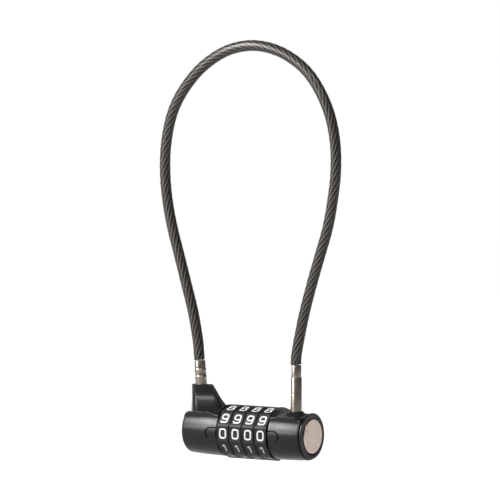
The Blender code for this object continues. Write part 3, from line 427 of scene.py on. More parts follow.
def left_sections():
    """Sections of the left housing from its rounded end to the dials."""
    places = [LEFT_ROUND * (1.0 - cos) for cos, _ in quarter(LEFT_ROUND_STEPS)][:-1]
    places += stations(LEFT_ROUND, LEFT_LENGTH)
    sections = []
    for x in places:
        short = max(0.0, LEFT_ROUND - x)
        rounding = LEFT_ROUND - math.sqrt(LEFT_ROUND ** 2 - short ** 2)
        sink = LEFT_CROWN * (1.0 - x / LEFT_LENGTH) ** 2 + rounding
        dome = ease((x - LEFT_LENGTH + SHOULDER_FALL) / SHOULDER_FALL)
        sections.append(housing_section(x, sink, edge_near_end(x), LEFT_SHOULDER, dome))
    return sections


def right_sections():
    """Sections of the right housing from the dials to its rounded right end."""
    round_start = RIGHT_END - RIGHT_ROUND
    places = stations(RIGHT_START, round_start)
    places += [round_start + RIGHT_ROUND * sin for _, sin in quarter(RIGHT_ROUND_STEPS)][1:]
    sections = []
    for x in places:
        past = max(0.0, x - round_start)
        rounding = RIGHT_ROUND - math.sqrt(RIGHT_ROUND ** 2 - past ** 2)
        sink = RIGHT_CROWN * ((x - RIGHT_START) / (RIGHT_END - RIGHT_START)) ** 2 + rounding
        dome = 1.0 - ease((x - RIGHT_START) / SHOULDER_FALL)
        edge = edge_near_end(RIGHT_END - x)
        sections.append(housing_section(x, sink, edge, RIGHT_SHOULDER, dome))
    return sections


def fin_outline(z):
    """Plan outline of the fin at a height: round about the cable, flat towards the dials."""
    flare = 1.0 - min(max((z - FIN_FLARE_START) / FIN_FLARE_HEIGHT, 0.0), 1.0)
    half = FIN_HALF_WIDTH + FIN_FLARE * flare ** 2
    nose = FIN_NOSE + FIN_FLARE * flare ** 2
    foot = LEFT_LENGTH - FIN_EDGE_GAP
    slope = (foot - FIN_TOP_RIGHT) / (FIN_TOP - FIN_SLOPE_END)
    right = min(FIN_TOP_RIGHT + slope * (FIN_TOP - z), foot)
    corner = FIN_CORNER + FIN_CORNER_GROWTH * flare
    arcs = [(FIN_LEFT + half, 0.0, half, 90.0, 180.0, FIN_STEPS)]
    for side, start in ((-1, -90.0), (1, 0.0)):
        middle = side * (nose - corner)
        arcs.append((right - corner, middle, corner, start, 90.0, FIN_CORNER_STEPS))
    outline = []
    for x, y, radius, start, sweep, steps in arcs:
        for i in range(steps + 1):
            angle = math.radians(start + sweep * i / steps)
            outline.append((x + radius * math.cos(angle), y + radius * math.sin(angle), z))
    return outline


def index_mark(name, mouth, direction):
    """Cutter for a U-shaped groove whose open end faces the dials."""
    outer = MARK_HALF_HEIGHT + MARK_GROOVE / 2
    inner = MARK_HALF_HEIGHT - MARK_GROOVE / 2
    bend = MARK_LENGTH - outer
    steps = 28
    outline = []
    for radius, side in ((outer, 1.0), (inner, -1.0)):
        outline.append((-PAST, side * radius))
        for i in range(steps + 1):
            angle = math.radians(side * (90.0 - 180.0 * i / steps))
            outline.append((bend + radius * math.cos(angle), radius * math.sin(angle)))
        outline.append((-PAST, -side * radius))
    loops = []
    for shift in (-PAST, MARK_DEPTH):
        points = []
        for x, z in outline:
            surface = math.sqrt(BARREL_RADIUS ** 2 - z ** 2)
            points.append((mouth + direction * x, shift - surface, z))
        loops.append(points)
    return loft(name, loops)


def pin_hole(name, x):
    """Cutter for a core pin's hole, drilled up from below."""
    low = -BARREL_RADIUS - PAST
    profile = [(low, 0.0), (low, CORE_PIN_BORE), (CORE_PIN_TOP, CORE_PIN_BORE), (CORE_PIN_TOP, 0.0)]
    mesh = turned_up(name, profile, 32)
    mesh.transform(Matrix.Translation((x, 0.0, 0.0)))
    return mesh


def ferrule_matrix():
    """Place of the fixed ferrule: leaning left about the top of the fin."""
    return Matrix.Translation((FERRULE_X, 0.0, FIN_TOP)) @ Matrix.Rotation(-FERRULE_TILT, 4, "Y")


def make_left_housing(paint):
    """Left end of the barrel with the fin that holds the cable."""
    housing = new_object("left_housing_skin", loft("left_housing_skin", left_sections()))
    heights = [FIN_FOOT, FIN_FLARE_START]
    for i in range(1, FIN_LAYERS + 1):
        heights.append(FIN_FLARE_START + FIN_FLARE_HEIGHT * (i / FIN_LAYERS) ** FIN_LAYER_BIAS)
    heights += [FIN_TOP - FIN_RIM, FIN_TOP]
    loops = [fin_outline(z) for z in heights]
    combine(housing, loft("fin_shape", loops), "UNION")
    through = LEFT_LENGTH + PAST
    combine(housing, rod("left_core_bore", CORE_BORE_LEFT, through, CORE_BORE), "DIFFERENCE")
    recess = rod("cap_recess", -PAST, CAP_RECESS, CAP_RADIUS + FIT, 96)
    combine(housing, recess, "DIFFERENCE")
    cap_back = CAP_RECESS - FIT
    head = rod("head_bore", cap_back, PLUNGER_HEAD_END, PLUNGER_HEAD_BORE, 32)
    combine(housing, head, "DIFFERENCE", PLUNGER_PLACE)
    stem = rod("stem_bore", cap_back, through, PLUNGER_BORE, 32)
    combine(housing, stem, "DIFFERENCE", PLUNGER_PLACE)
    socket = turned_up("ferrule_socket", [
        (-FERRULE_DEPTH - 2 * FIT, 0.0), (-FERRULE_DEPTH - 2 * FIT, FERRULE_RADIUS + FIT),
        (2 * PAST, FERRULE_RADIUS + FIT), (2 * PAST, 0.0)])
    socket.transform(ferrule_matrix())
    combine(housing, socket, "DIFFERENCE")
    cross = rod("pin_bore", FERRULE_PIN_FLOOR, FIN_FLARE + PAST, FERRULE_PIN_BORE, 32)
    cross.transform(Matrix.Rotation(math.radians(90.0), 4, "Z"))
    combine(housing, cross, "DIFFERENCE", FERRULE_PIN_PLACE)
    combine(housing, pin_hole("core_pin_hole", CORE_PIN_LEFT_AT), "DIFFERENCE")
    combine(housing, index_mark("index_mark_left", LEFT_LENGTH, -1), "DIFFERENCE")
    soften(housing)
    dress(housing, "barrel", "left_housing", paint)


def make_right_housing(paint):
    """Right end of the barrel, where the plug drops in."""
    housing = new_object("right_housing_skin", loft("right_housing_skin", right_sections()))
    base = SOCKET_FLOOR + PAST
    boss = turned_up("plug_boss", [
        (base, 0.0), (base, BOSS_FOOT_RADIUS), (BOSS_FOOT, BOSS_FOOT_RADIUS),
        (BOSS_TOP, BOSS_TOP_RADIUS), (BOSS_TOP, 0.0)], 96)
    combine(housing, boss, "UNION", (PLUG_X, 0.0, 0.0))
    start = RIGHT_START - PAST
    end = RIGHT_END + PAST
    bores = [
        rod("spring_recess", start, RIGHT_START + RESET_RECESS, RESET_RECESS_RADIUS),
        rod("core_bore", start, RIGHT_START + CORE_BORE_DEPTH, CORE_BORE),
        rod("spindle_bore", start, end, SPINDLE_BORE),
        rod("button_cavity", CAVITY_FLOOR, end, BUTTON_BORE, 96),
    ]
    for bore in bores:
        combine(housing, bore, "DIFFERENCE")
    rim = PLUG_BORE + SOCKET_CHAMFER + FIT
    above = BOSS_TOP + PAST
    socket = turned_up("plug_socket", [
        (SOCKET_FLOOR, 0.0), (SOCKET_FLOOR, PLUG_BORE), (BOSS_TOP - SOCKET_CHAMFER, PLUG_BORE),
        (BOSS_TOP + FIT, rim), (above, rim), (above, 0.0)])
    combine(housing, socket, "DIFFERENCE", (PLUG_X, 0.0, 0.0))
    combine(housing, box("clip_pocket", *POCKET), "DIFFERENCE")
    combine(housing, pin_hole("core_pin_hole", CORE_PIN_RIGHT_AT), "DIFFERENCE")
    combine(housing, index_mark("index_mark_right", RIGHT_START, 1), "DIFFERENCE")
    soften(housing)
    dress(housing, "barrel", "right_housing", paint)


def make_end_ring(paint):
    """Slim ring round the push button, rolled over at its outer edge."""
    inner = BUTTON_BORE
    outer = BARREL_RADIUS - RIGHT_CROWN - RIGHT_ROUND - FIT
    edge = 0.25 * MM
    lip = 0.20 * MM
    soft = 0.06 * MM
    profile = [(RING_START, inner), (RING_END - lip, inner), (RING_END - soft, inner + soft),
               (RING_END, inner + lip)]
    profile += [(RING_END - edge * (1.0 - cos), outer - edge * (1.0 - sin))
                for cos, sin in quarter(EDGE_STEPS)]
    profile += [(RING_START + soft, outer), (RING_START, outer - soft)]
    ring = new_object("end_ring_skin", turned("end_ring_skin", profile, 128))
    dress(ring, "barrel", "end_ring", paint)


def make_end_cap(paint):
    """Disc in the left end, with the pen hole."""
    low = span("left_end_cap", 0)[0] - ORIGIN.x
    high = span("left_end_cap", 0)[1] - ORIGIN.x
    edge = 0.20 * MM
    middle = ROUNDING * edge
    profile = [(low, 0.0), (low, CAP_RADIUS - edge), (low + middle, CAP_RADIUS - middle),
               (low + edge, CAP_RADIUS), (high, CAP_RADIUS), (high, 0.0)]
    cap = new_object("left_end_cap_skin", turned("left_end_cap_skin", profile, 96))
    hole = rod("pen_hole", -PAST, high + PAST, PEN_HOLE_RADIUS, 40)
    combine(cap, hole, "DIFFERENCE", PLUNGER_PLACE)
    soften(cap)
    dress(cap, "barrel", "left_end_cap", paint)


# Dials -------------------------------------------------------------------------------------


def facet_angle(digit):
    """Angle of a digit's facet about the axis, from +Y. Zero faces -Y and 9 is above it."""
    return math.pi + math.tau * digit / DIAL_DIGITS


def dial_outline(x, inset):
    """Ten facets with a narrow bevel between neighbours."""
    flat = DIAL_FLAT_RADIUS - inset
    half_facet = DIAL_FLAT_RADIUS * math.tan(math.pi / DIAL_DIGITS) - DIAL_RIDGE / 2
    loop = []
    for digit in range(DIAL_DIGITS):
        facing = facet_angle(digit)
        for side in (-half_facet, half_facet):
            y = flat * math.cos(facing) - side * math.sin(facing)
            z = flat * math.sin(facing) + side * math.cos(facing)
            loop.append((x, y, z))
    return loop


def dial_mesh():
    """A drum with a sunk panel in each facet and softened edges."""
    steps = [(0.0, DIAL_END_BEVEL), (DIAL_END_BEVEL, 0.0),
             (DIAL_WIDTH - DIAL_END_BEVEL, 0.0), (DIAL_WIDTH, DIAL_END_BEVEL)]
    mesh = loft("dial_skin", [dial_outline(x, inset) for x, inset in steps])
    bm = bmesh.new()
    bm.from_mesh(mesh)
    facet = 2 * DIAL_FLAT_RADIUS * math.tan(math.pi / DIAL_DIGITS) - DIAL_RIDGE
    area = facet * (DIAL_WIDTH - 2 * DIAL_END_BEVEL)
    facets = [face for face in bm.faces if abs(face.calc_area() - area) < 0.02 * area]
    bmesh.ops.inset_individual(bm, faces=facets, thickness=PANEL_MARGIN)
    bmesh.ops.inset_individual(bm, faces=facets, thickness=PANEL_WALL, depth=-PANEL_DEPTH)
    return finish_mesh(bm, "dial_skin")


def rounded(points, radius, closed):
    """A path through the points with its corners rounded."""
    path = []
    count = len(points)
    for i, point in enumerate(points):
        here = Vector(point)
        if not closed and i in (0, count - 1):
            path.append(here)
            continue
        before = Vector(points[i - 1])
        after = Vector(points[(i + 1) % count])
        reach = min(radius, (before - here).length / 2, (after - here).length / 2)
        start = here + (before - here).normalized() * reach
        end = here + (after - here).normalized() * reach
        for k in range(CORNER_STEPS + 1):
            t = k / CORNER_STEPS
            path.append(start * (1 - t) ** 2 + here * 2 * t * (1 - t) + end * t ** 2)
    return path


def digit_strokes(digit):
    """Centre lines of a digit as (points, closed), in a unit box about its middle."""
    left, right, low, high = -0.5, 0.5, -0.5, 0.5
    square = [(left, low), (right, low), (right, high), (left, high)]
    strokes = {
        0: [(square, True)],
        1: [([(-0.30, 0.22), (0.06, high), (0.06, low)], False)],
        2: [([(left, 0.24), (left, high), (right, high), (right, 0.10), (left, -0.28),
              (left, low), (right, low)], False)],
        3: [([(left, 0.30), (left, high), (right, high), (right, 0.04), (-0.15, 0.04)], False),
            ([(-0.15, 0.04), (right, 0.04), (right, low), (left, low), (left, -0.28)], False)],
        4: [([(0.24, low), (0.24, high), (left, -0.20), (0.56, -0.20)], False)],
        5: [([(right, high), (left, high), (left, 0.06), (right, 0.06), (right, low), (left, low),
              (left, -0.26)], False)],
        6: [([(right, 0.30), (right, high), (left, high), (left, -0.25)], False),
            ([(left, low), (right, low), (right, 0.08), (left, 0.08)], True)],
        7: [([(left, high), (right, high), (right, 0.30), (-0.12, low)], False)],
        8: [([(left, low), (right, low), (right, 0.04), (left, 0.04)], True),
            ([(-0.44, 0.04), (0.44, 0.04), (0.44, high), (-0.44, high)], True)],
        9: [([(left, high), (right, high), (right, -0.08), (left, -0.08)], True),
            ([(right, 0.25), (right, low), (left, low), (left, -0.30)], False)],
    }
    return strokes[digit]


def digit_mesh(digit):
    """A digit as flattened strokes, in the plane of X and Y with Z as its raise."""
    curve = bpy.data.curves.new(f"digit_{digit}", "CURVE")
    curve.dimensions = "3D"
    curve.bevel_depth = DIGIT_STROKE / 2
    curve.bevel_resolution = 2
    curve.use_fill_caps = True
    width = DIGIT_WIDTH - DIGIT_STROKE
    height = DIGIT_HEIGHT - DIGIT_STROKE
    for points, closed in digit_strokes(digit):
        points = [(x * width, y * height) for x, y in points]
        path = rounded(points, DIGIT_CORNER, closed)
        spline = curve.splines.new("POLY")
        spline.points.add(len(path) - 1)
        for spot, point in zip(spline.points, path):
            spot.co = (point.x, point.y, 0.0, 1.0)
        spline.use_cyclic_u = closed
    holder = bpy.data.objects.new(curve.name, curve)
    bpy.context.scene.collection.objects.link(holder)
    bpy.context.view_layer.update()
    mesh = bpy.data.meshes.new_from_object(
        holder.evaluated_get(bpy.context.evaluated_depsgraph_get()))
    bpy.data.objects.remove(holder)
    mesh.transform(Matrix.Diagonal((1.0, 1.0, 2 * DIGIT_RAISE / DIGIT_STROKE, 1.0)))
    return mesh


def make_dial(index, body_paint, digit_paint):
    """One dial: the drum, its splined bore left plain, and ten white digits."""
    left = DIAL_LEFTS[index]
    name = f"dial_{index + 1}"
    mesh = dial_mesh()
    mesh.transform(Matrix.Translation((left, 0.0, 0.0)))
    drum = new_object(f"{name}_skin", mesh)
    combine(drum, rod("dial_bore", left - PAST, left + DIAL_WIDTH + PAST, DIAL_BORE), "DIFFERENCE")
    bevel = drum.modifiers.new("edges", "BEVEL")
    bevel.width = DIAL_SOFT_EDGE
    bevel.segments = 2
    bevel.angle_limit = math.radians(25.0)
    soften(drum, 40.0)
    dress(drum, f"{name}_drum", name, body_paint)

    bm = bmesh.new()
    for digit in range(DIAL_DIGITS):
        facing = facet_angle(digit)
        out = Vector((0.0, math.cos(facing), math.sin(facing)))
        up = Vector((0.0, math.sin(facing), -math.cos(facing)))
        place = Matrix.Identity(4)
        for column, axis in enumerate((Vector((1.0, 0.0, 0.0)), up, out)):
            place.col[column][:3] = axis
        middle = Vector((left + DIAL_WIDTH / 2, 0.0, 0.0))
        place.translation = middle + out * (DIAL_FLAT_RADIUS - PANEL_DEPTH)
        figure = digit_mesh(digit)
        figure.transform(place)
        bm.from_mesh(figure)
    digits = new_object(f"{name}_digits", finish_mesh(bm, f"{name}_digits", 50.0))
    dress(digits, f"{name}_drum", None, digit_paint)


# Button, ferrule and plug ------------------------------------------------------------------


def make_button(paint):
    """Satin disc that releases the plug, with the wedge that spreads the clip behind it."""
    back = BUTTON_FACE - BUTTON_THICKNESS
    edge = 0.28 * MM
    skin = 0.90 * MM
    socket = 2.30 * MM
    edge_steps = 6
    rings = 24
    profile = [(BUTTON_FACE - skin, 0.0), (BUTTON_FACE - skin, socket), (back, socket),
               (back, BUTTON_RADIUS - edge), (back + edge, BUTTON_RADIUS)]
    profile += [(BUTTON_FACE - edge * (1.0 - sin), BUTTON_RADIUS - edge * (1.0 - cos))
                for cos, sin in quarter(edge_steps)]
    profile += [(BUTTON_FACE, (BUTTON_RADIUS - edge) * (1.0 - i / rings)) for i in range(1, rings)]
    profile.append((BUTTON_FACE, 0.0))
    disc = new_object("release_button_skin", turned("release_button_skin", profile, 128))
    low = POCKET[0][2] + RUN
    high = POCKET[1][2] - RUN
    tip = span("release_button", 0)[0] - ORIGIN.x
    loops = []
    for x, half in ((tip, WEDGE_TIP), (back + PAST / 2, WEDGE_ROOT)):
        loops.append([(x, -half, low), (x, -half, high), (x, half, high), (x, half, low)])
    combine(disc, loft("button_wedge", loops), "UNION")
    soften(disc)
    dress(disc, "button", "release_button", paint)


def make_ferrule(paint):
    """Crimped sleeve on the fixed end of the cable, leaning left in the fin."""
    rim = 0.35 * MM
    bead_half = 0.75 * MM
    bead_steps = 12
    profile = [(-FERRULE_DEPTH, 0.0), (-FERRULE_DEPTH, FERRULE_RADIUS)]
    for bead in FERRULE_BEADS:
        for i in range(bead_steps + 1):
            along = -1.0 + 2.0 * i / bead_steps
            swell = FERRULE_BEAD * math.cos(along * math.pi / 2) ** 2
            profile.append((bead + along * bead_half, FERRULE_RADIUS + swell))
    profile += rounded_top(FERRULE_HEIGHT, FERRULE_RADIUS, rim) + [(FERRULE_HEIGHT, 0.0)]
    mesh = turned_up("fixed_ferrule_skin", profile)
    mesh.transform(ferrule_matrix())
    dress(new_object("fixed_ferrule_skin", mesh), "barrel", "fixed_ferrule", paint)


def make_plug(paint):
    """Steel plug on the free end: a stem with the latch groove and a thinner neck for the cable."""
    soft = 0.30 * MM
    taper = 1.00 * MM
    tip = 1.80 * MM
    lip = 0.12 * MM
    profile = [
        (PLUG_TIP, 0.0), (PLUG_TIP, tip - lip), (PLUG_TIP + lip, tip),
        (PLUG_TIP + taper, PLUG_RADIUS), (GROOVE_LOW, PLUG_RADIUS), (GROOVE_LOW, GROOVE_RADIUS),
        (GROOVE_HIGH, GROOVE_RADIUS), (GROOVE_HIGH, PLUG_RADIUS)]
    profile += rounded_top(PLUG_SHOULDER, PLUG_RADIUS, soft) + [(PLUG_SHOULDER, PLUG_NECK_RADIUS)]
    profile += rounded_top(PLUG_TOP, PLUG_NECK_RADIUS, soft) + [(PLUG_TOP, 0.0)]
    mesh = turned_up("plug_pin_skin", profile)
    mesh.transform(Matrix.Translation((PLUG_X, 0.0, 0.0)))
    plug = new_object("plug_pin_skin", mesh)
    dress(plug, "plug", "plug_pin", paint)
    return plug


def make_spring(node, paint):
    """A coil of the model's own shape, painted and riding on the barrel in place of the model's
    spring.
    """
    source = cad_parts[node]
    mesh = source.data.copy()
    mesh.transform(source.matrix_world)
    coil = new_object(f"{node}_coil", mesh, at_barrel=False)
    dress(coil, "barrel", node, paint)
    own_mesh(coil)


# Cable -------------------------------------------------------------------------------------


def cable_route():
    """Points of the whole cable from the ferrule to the plug, evenly spaced on one smooth curve."""
    lean = ferrule_matrix()
    start = lean @ Vector((0.0, 0.0, FERRULE_HEIGHT + CABLE_GAP))
    after = lean @ Vector((0.0, 0.0, FERRULE_HEIGHT + CABLE_GAP + CABLE_LEAD))
    end = Vector((PLUG_X, 0.0, PLUG_TOP + CABLE_GAP))
    before = end + Vector((0.0, 0.0, CABLE_LEAD))
    loop = [Vector((x * MM, 0.0, z * MM)) for x, z in CABLE_ROUTE]
    return smooth_route([start, after] + loop + [before, end], CABLE_POINTS)


def smooth_route(knots, count):
    """Even points along a Catmull-Rom curve through the knots."""
    first = knots[0] * 2 - knots[1]
    last = knots[-1] * 2 - knots[-2]
    padded = [first] + knots + [last]
    fine = []
    for a, b, c, d in zip(padded, padded[1:], padded[2:], padded[3:]):
        for k in range(CABLE_FINENESS):
            t = k / CABLE_FINENESS
            fine.append(0.5 * (2 * b + (c - a) * t + (2 * a - 5 * b + 4 * c - d) * t ** 2
                               + (3 * b - a - 3 * c + d) * t ** 3))
    fine.append(knots[-1])
    lengths = [0.0]
    for before, after in zip(fine, fine[1:]):
        lengths.append(lengths[-1] + (after - before).length)
    points = []
    spot = 0
    for i in range(count):
        goal = lengths[-1] * i / (count - 1)
        while spot < len(fine) - 2 and lengths[spot + 1] < goal:
            spot += 1
        share = (goal - lengths[spot]) / (lengths[spot + 1] - lengths[spot])
        points.append(fine[spot].lerp(fine[spot + 1], share))
    return points


def strand_radius(angle):
    """Outline of a rope of equal strands: the outer arc of the strand at this angle."""
    share = math.sin(math.pi / ROPE_STRANDS)
    strand = ROPE_RADIUS * share / (1.0 + share)
    centre = ROPE_RADIUS - strand
    step = math.tau / ROPE_STRANDS
    off = (angle + step / 2) % step - step / 2
    return centre * math.cos(off) + math.sqrt(strand ** 2 - (centre * math.sin(off)) ** 2)


def swept(name, route, outline, twist_length=None):
    """Sweep a closed outline of (angle, radius) along a route in the plane of X and Z."""
    bm = bmesh.new()
    uv = bm.loops.layers.uv.new("UVMap")
    rings = []
    travelled = 0.0
    marks = []
    for i, point in enumerate(route):
        before = route[max(i - 1, 0)]
        after = route[min(i + 1, len(route) - 1)]
        along = (after - before).normalized()
        side = Vector((0.0, 1.0, 0.0))
        out = along.cross(side)
        if i:
            travelled += (point - route[i - 1]).length
        turn = -math.tau * travelled / twist_length if twist_length else 0.0
        ring = []
        for angle, radius in outline:
            across = out * math.cos(angle + turn) + side * math.sin(angle + turn)
            ring.append(bm.verts.new(point + across * radius))
        rings.append(ring)
        marks.append(travelled)
    count = len(outline)
    for row, (ring, following) in enumerate(zip(rings, rings[1:])):
        for i in range(count):
            j = (i + 1) % count
            face = bm.faces.new((ring[i], ring[j], following[j], following[i]))
            places = ((i, row), (i + 1, row), (i + 1, row + 1), (i, row + 1))
            for loop, (u, v) in zip(face.loops, places):
                loop[uv].uv = (u / count, marks[v] / MM)
    bm.faces.new(rings[0])
    bm.faces.new(rings[-1])
    return finish_mesh(bm, name, 60.0)


def make_cable(rope_paint, jacket_paint):
    """The twisted steel rope in its smoky clear jacket, from the ferrule round to the plug."""
    route = cable_route()
    step = math.tau / ROPE_STEPS
    lobes = [(i * step, strand_radius(i * step)) for i in range(ROPE_STEPS)]
    skin = [(math.tau * i / JACKET_STEPS, CABLE_RADIUS) for i in range(JACKET_STEPS)]
    rope = new_object("cable_rope", swept("cable_rope", route, lobes, ROPE_LAY))
    jacket = new_object("cable_jacket", swept("cable_jacket", route, skin))
    for piece, paint in ((rope, rope_paint), (jacket, jacket_paint)):
        paint_with(piece, paint)
        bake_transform(piece)
    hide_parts("cable")


# Materials ---------------------------------------------------------------------------------


class Paint:
    """A procedural finish on one Principled shader, with the record's slot that it stands for."""

    def __init__(self, name, slot, colour, roughness, metallic=0.0, specular=0.5):
        self.slot = slot
        self.material = bpy.data.materials.new(name)
        self.material.use_nodes = True
        self.nodes = self.material.node_tree.nodes
        self.links = self.material.node_tree.links
        self.shader = self.nodes["Principled BSDF"]
        self.set("Base Color", (*colour, 1.0))
        self.set("Roughness", roughness)
        self.set("Metallic", metallic)
        self.set("Specular IOR Level", specular)
        self.material.diffuse_color = (*colour, 1.0)
        self.coords = self.nodes.new("ShaderNodeTexCoord")

    def set(self, socket, value):
        """Set a socket of the shader."""
        self.shader.inputs[socket].default_value = value

    def noise(self, scale, detail=3.0, stretch=(1.0, 1.0, 1.0)):
        """Noise in object space, stretched where asked."""
        mapping = self.nodes.new("ShaderNodeMapping")
        mapping.inputs["Scale"].default_value = stretch
        texture = self.nodes.new("ShaderNodeTexNoise")
        texture.inputs["Scale"].default_value = scale
        texture.inputs["Detail"].default_value = detail
        self.links.new(self.coords.outputs["Object"], mapping.inputs["Vector"])
        self.links.new(mapping.outputs["Vector"], texture.inputs["Vector"])
        return texture.outputs["Fac"]

    def bands(self, around, along=0.0):
        """Stripes on the UV map: so many around the piece, and per millimetre of its length."""
        mapping = self.nodes.new("ShaderNodeMapping")
        mapping.inputs["Scale"].default_value = (WAVE * around, WAVE * along, 0.0)
        texture = self.nodes.new("ShaderNodeTexWave")
        texture.bands_direction = "DIAGONAL"
        texture.inputs["Scale"].default_value = 1.0
        texture.inputs["Phase Offset"].default_value = math.pi
        self.links.new(self.coords.outputs["UV"], mapping.inputs["Vector"])
        self.links.new(mapping.outputs["Vector"], texture.inputs["Vector"])
        return texture.outputs["Fac"]

    def vary(self, socket, factor, low, high):
        """Drive a socket from low to high by a pattern."""
        ramp = self.nodes.new("ShaderNodeMapRange")
        ramp.inputs["From Min"].default_value = PATTERN_START
        ramp.inputs["From Max"].default_value = PATTERN_END
        ramp.inputs["To Min"].default_value = low
        ramp.inputs["To Max"].default_value = high
        self.links.new(factor, ramp.inputs["Value"])
        self.links.new(ramp.outputs["Result"], self.shader.inputs[socket])

    def tint(self, factor, low, high, start=PATTERN_START, end=PATTERN_END):
        """Mix the base colour between two colours by a pattern."""
        ramp = self.nodes.new("ShaderNodeValToRGB")
        ramp.color_ramp.elements[0].position = start
        ramp.color_ramp.elements[1].position = end
        ramp.color_ramp.elements[0].color = (*low, 1.0)
        ramp.color_ramp.elements[1].color = (*high, 1.0)
        self.links.new(factor, ramp.inputs["Fac"])
        self.links.new(ramp.outputs["Color"], self.shader.inputs["Base Color"])

    def relief(self, factor, height):
        """Raise the surface by a pattern; a second call adds to the first."""
        bump = self.nodes.new("ShaderNodeBump")
        bump.inputs["Distance"].default_value = height
        bump.inputs["Strength"].default_value = 1.0
        normal = self.shader.inputs["Normal"]
        if normal.is_linked:
            self.links.new(normal.links[0].from_socket, bump.inputs["Normal"])
        self.links.new(factor, bump.inputs["Height"])
        self.links.new(bump.outputs["Normal"], normal)


def black_enamel(name, slot):
    """Black enamel baked on the housings: a faint orange peel, a little dust and handling."""
    paint = Paint(name, slot, (0.009, 0.009, 0.010), 0.26, specular=0.23)
    paint.tint(paint.noise(90.0), (0.007, 0.007, 0.008), (0.011, 0.011, 0.012))
    paint.vary("Roughness", paint.noise(160.0, 4.0), 0.23, 0.30)
    paint.relief(paint.noise(1100.0, 2.0), 0.004 * MM)
    return paint


def dial_charcoal():
    """Dark matt metal of the dials, slightly lighter than the housings."""
    paint = Paint("dial_charcoal", "dial_black", (0.010, 0.010, 0.011), 0.46, specular=0.24)
    paint.tint(paint.noise(140.0), (0.008, 0.008, 0.009), (0.013, 0.013, 0.014))
    paint.vary("Roughness", paint.noise(260.0, 4.0), 0.42, 0.52)
    paint.relief(paint.noise(2600.0, 3.0), 0.004 * MM)
    return paint


def digit_white():
    """White enamel of the digits."""
    paint = Paint("digit_white", "dial_black", (0.64, 0.64, 0.63), 0.45, specular=0.3)
    paint.tint(paint.noise(900.0), (0.59, 0.59, 0.58), (0.69, 0.69, 0.68))
    paint.relief(paint.noise(4200.0), 0.003 * MM)
    return paint


def satin_champagne():
    """Anodised disc with a fine turned finish."""
    paint = Paint("button_champagne", "button_champagne", (0.64, 0.53, 0.46), 0.42, 1.0)
    paint.tint(paint.noise(220.0), (0.60, 0.49, 0.42), (0.69, 0.58, 0.51))
    paint.vary("Roughness", paint.noise(700.0), 0.38, 0.46)
    paint.relief(paint.noise(5200.0, 2.0), 0.002 * MM)
    return paint


def plated_steel():
    """Nickel-plated steel, drawn lengthwise, with faint scuffs."""
    paint = Paint("plated_steel", "plated_steel", (0.27, 0.235, 0.205), 0.30, 1.0)
    paint.tint(paint.noise(300.0, 4.0), (0.25, 0.215, 0.185), (0.30, 0.265, 0.235))
    paint.vary("Roughness", paint.noise(500.0, 4.0, (1.0, 1.0, 0.15)), 0.26, 0.34)
    paint.relief(paint.noise(1500.0, 3.0, (1.0, 1.0, 0.1)), 0.002 * MM)
    return paint


def inner_metal(name, slot, colour, roughness):
    """Plain turned metal inside the barrel."""
    paint = Paint(name, slot, colour, roughness, 1.0)
    darker = tuple(0.85 * c for c in colour)
    paint.tint(paint.noise(400.0, 4.0), darker, colour)
    turning = (0.1, 1.0, 1.0)
    scuffs = paint.noise(700.0, 4.0, turning)
    paint.vary("Roughness", scuffs, roughness - 0.06, roughness + 0.08)
    paint.relief(paint.noise(2400.0, 2.0, turning), 0.003 * MM)
    return paint


def steel_rope():
    """Steel strands with a painted highlight on their crowns and painted shade in the grooves
    between, each twisted from finer wires.
    """
    paint = Paint("steel_rope", "plain_steel", (0.14, 0.125, 0.11), 0.62, 1.0)
    # Base colour: a painted highlight on each strand's crown and painted shade in the grooves
    # between strands
    strands = paint.bands(ROPE_STRANDS)
    paint.tint(strands, (0.045, 0.039, 0.034), (0.19, 0.17, 0.15), 0.30, 1.0)
    paint.vary("Roughness", paint.noise(500.0, 3.0), 0.56, 0.68)
    paint.relief(paint.bands(3 * ROPE_STRANDS, 0.9), 0.03 * MM)
    return paint


def smoky_jacket():
    """Clear vinyl jacket with a smoky tint."""
    paint = Paint("smoky_jacket", "cable_jacket", (0.020, 0.018, 0.016), 0.31, specular=0.9)
    paint.set("Alpha", 0.38)
    paint.vary("Roughness", paint.noise(90.0, 1.0), 0.30, 0.32)
    return paint


def paint_with(obj, paint):
    """Give every face of an object the same finish."""
    obj.data.materials.clear()
    obj.data.materials.append(paint.material)


def dress(obj, body, node, paint):
    """Paint a piece, let it ride on its body and stand for a model node."""
    paint_with(obj, paint)
    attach(obj, body)
    if node is not None:
        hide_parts(node)


def dress_inside(spring):
    """Finishes of the model's own pieces that stay as they are."""
    steel = inner_metal("turned_steel", "plain_steel", (0.52, 0.52, 0.52), 0.30)
    brass = inner_metal("turned_brass", "brass", (0.72, 0.55, 0.26), 0.32)
    finishes = {
        steel: ["core_tube", "spindle", "spindle_clip", "core_pin_left", "core_pin_right",
                "ferrule_pin", "reset_plunger"],
        spring: ["click_strip", "latch_clip"],
        brass: [f"dial_sleeve_{i}" for i in range(1, 5)],
    }
    for paint, names in finishes.items():
        for name in names:
            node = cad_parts[name]
            for i in range(len(node.material_slots)):
                node.material_slots[i].material = paint.material


# Stage -------------------------------------------------------------------------------------


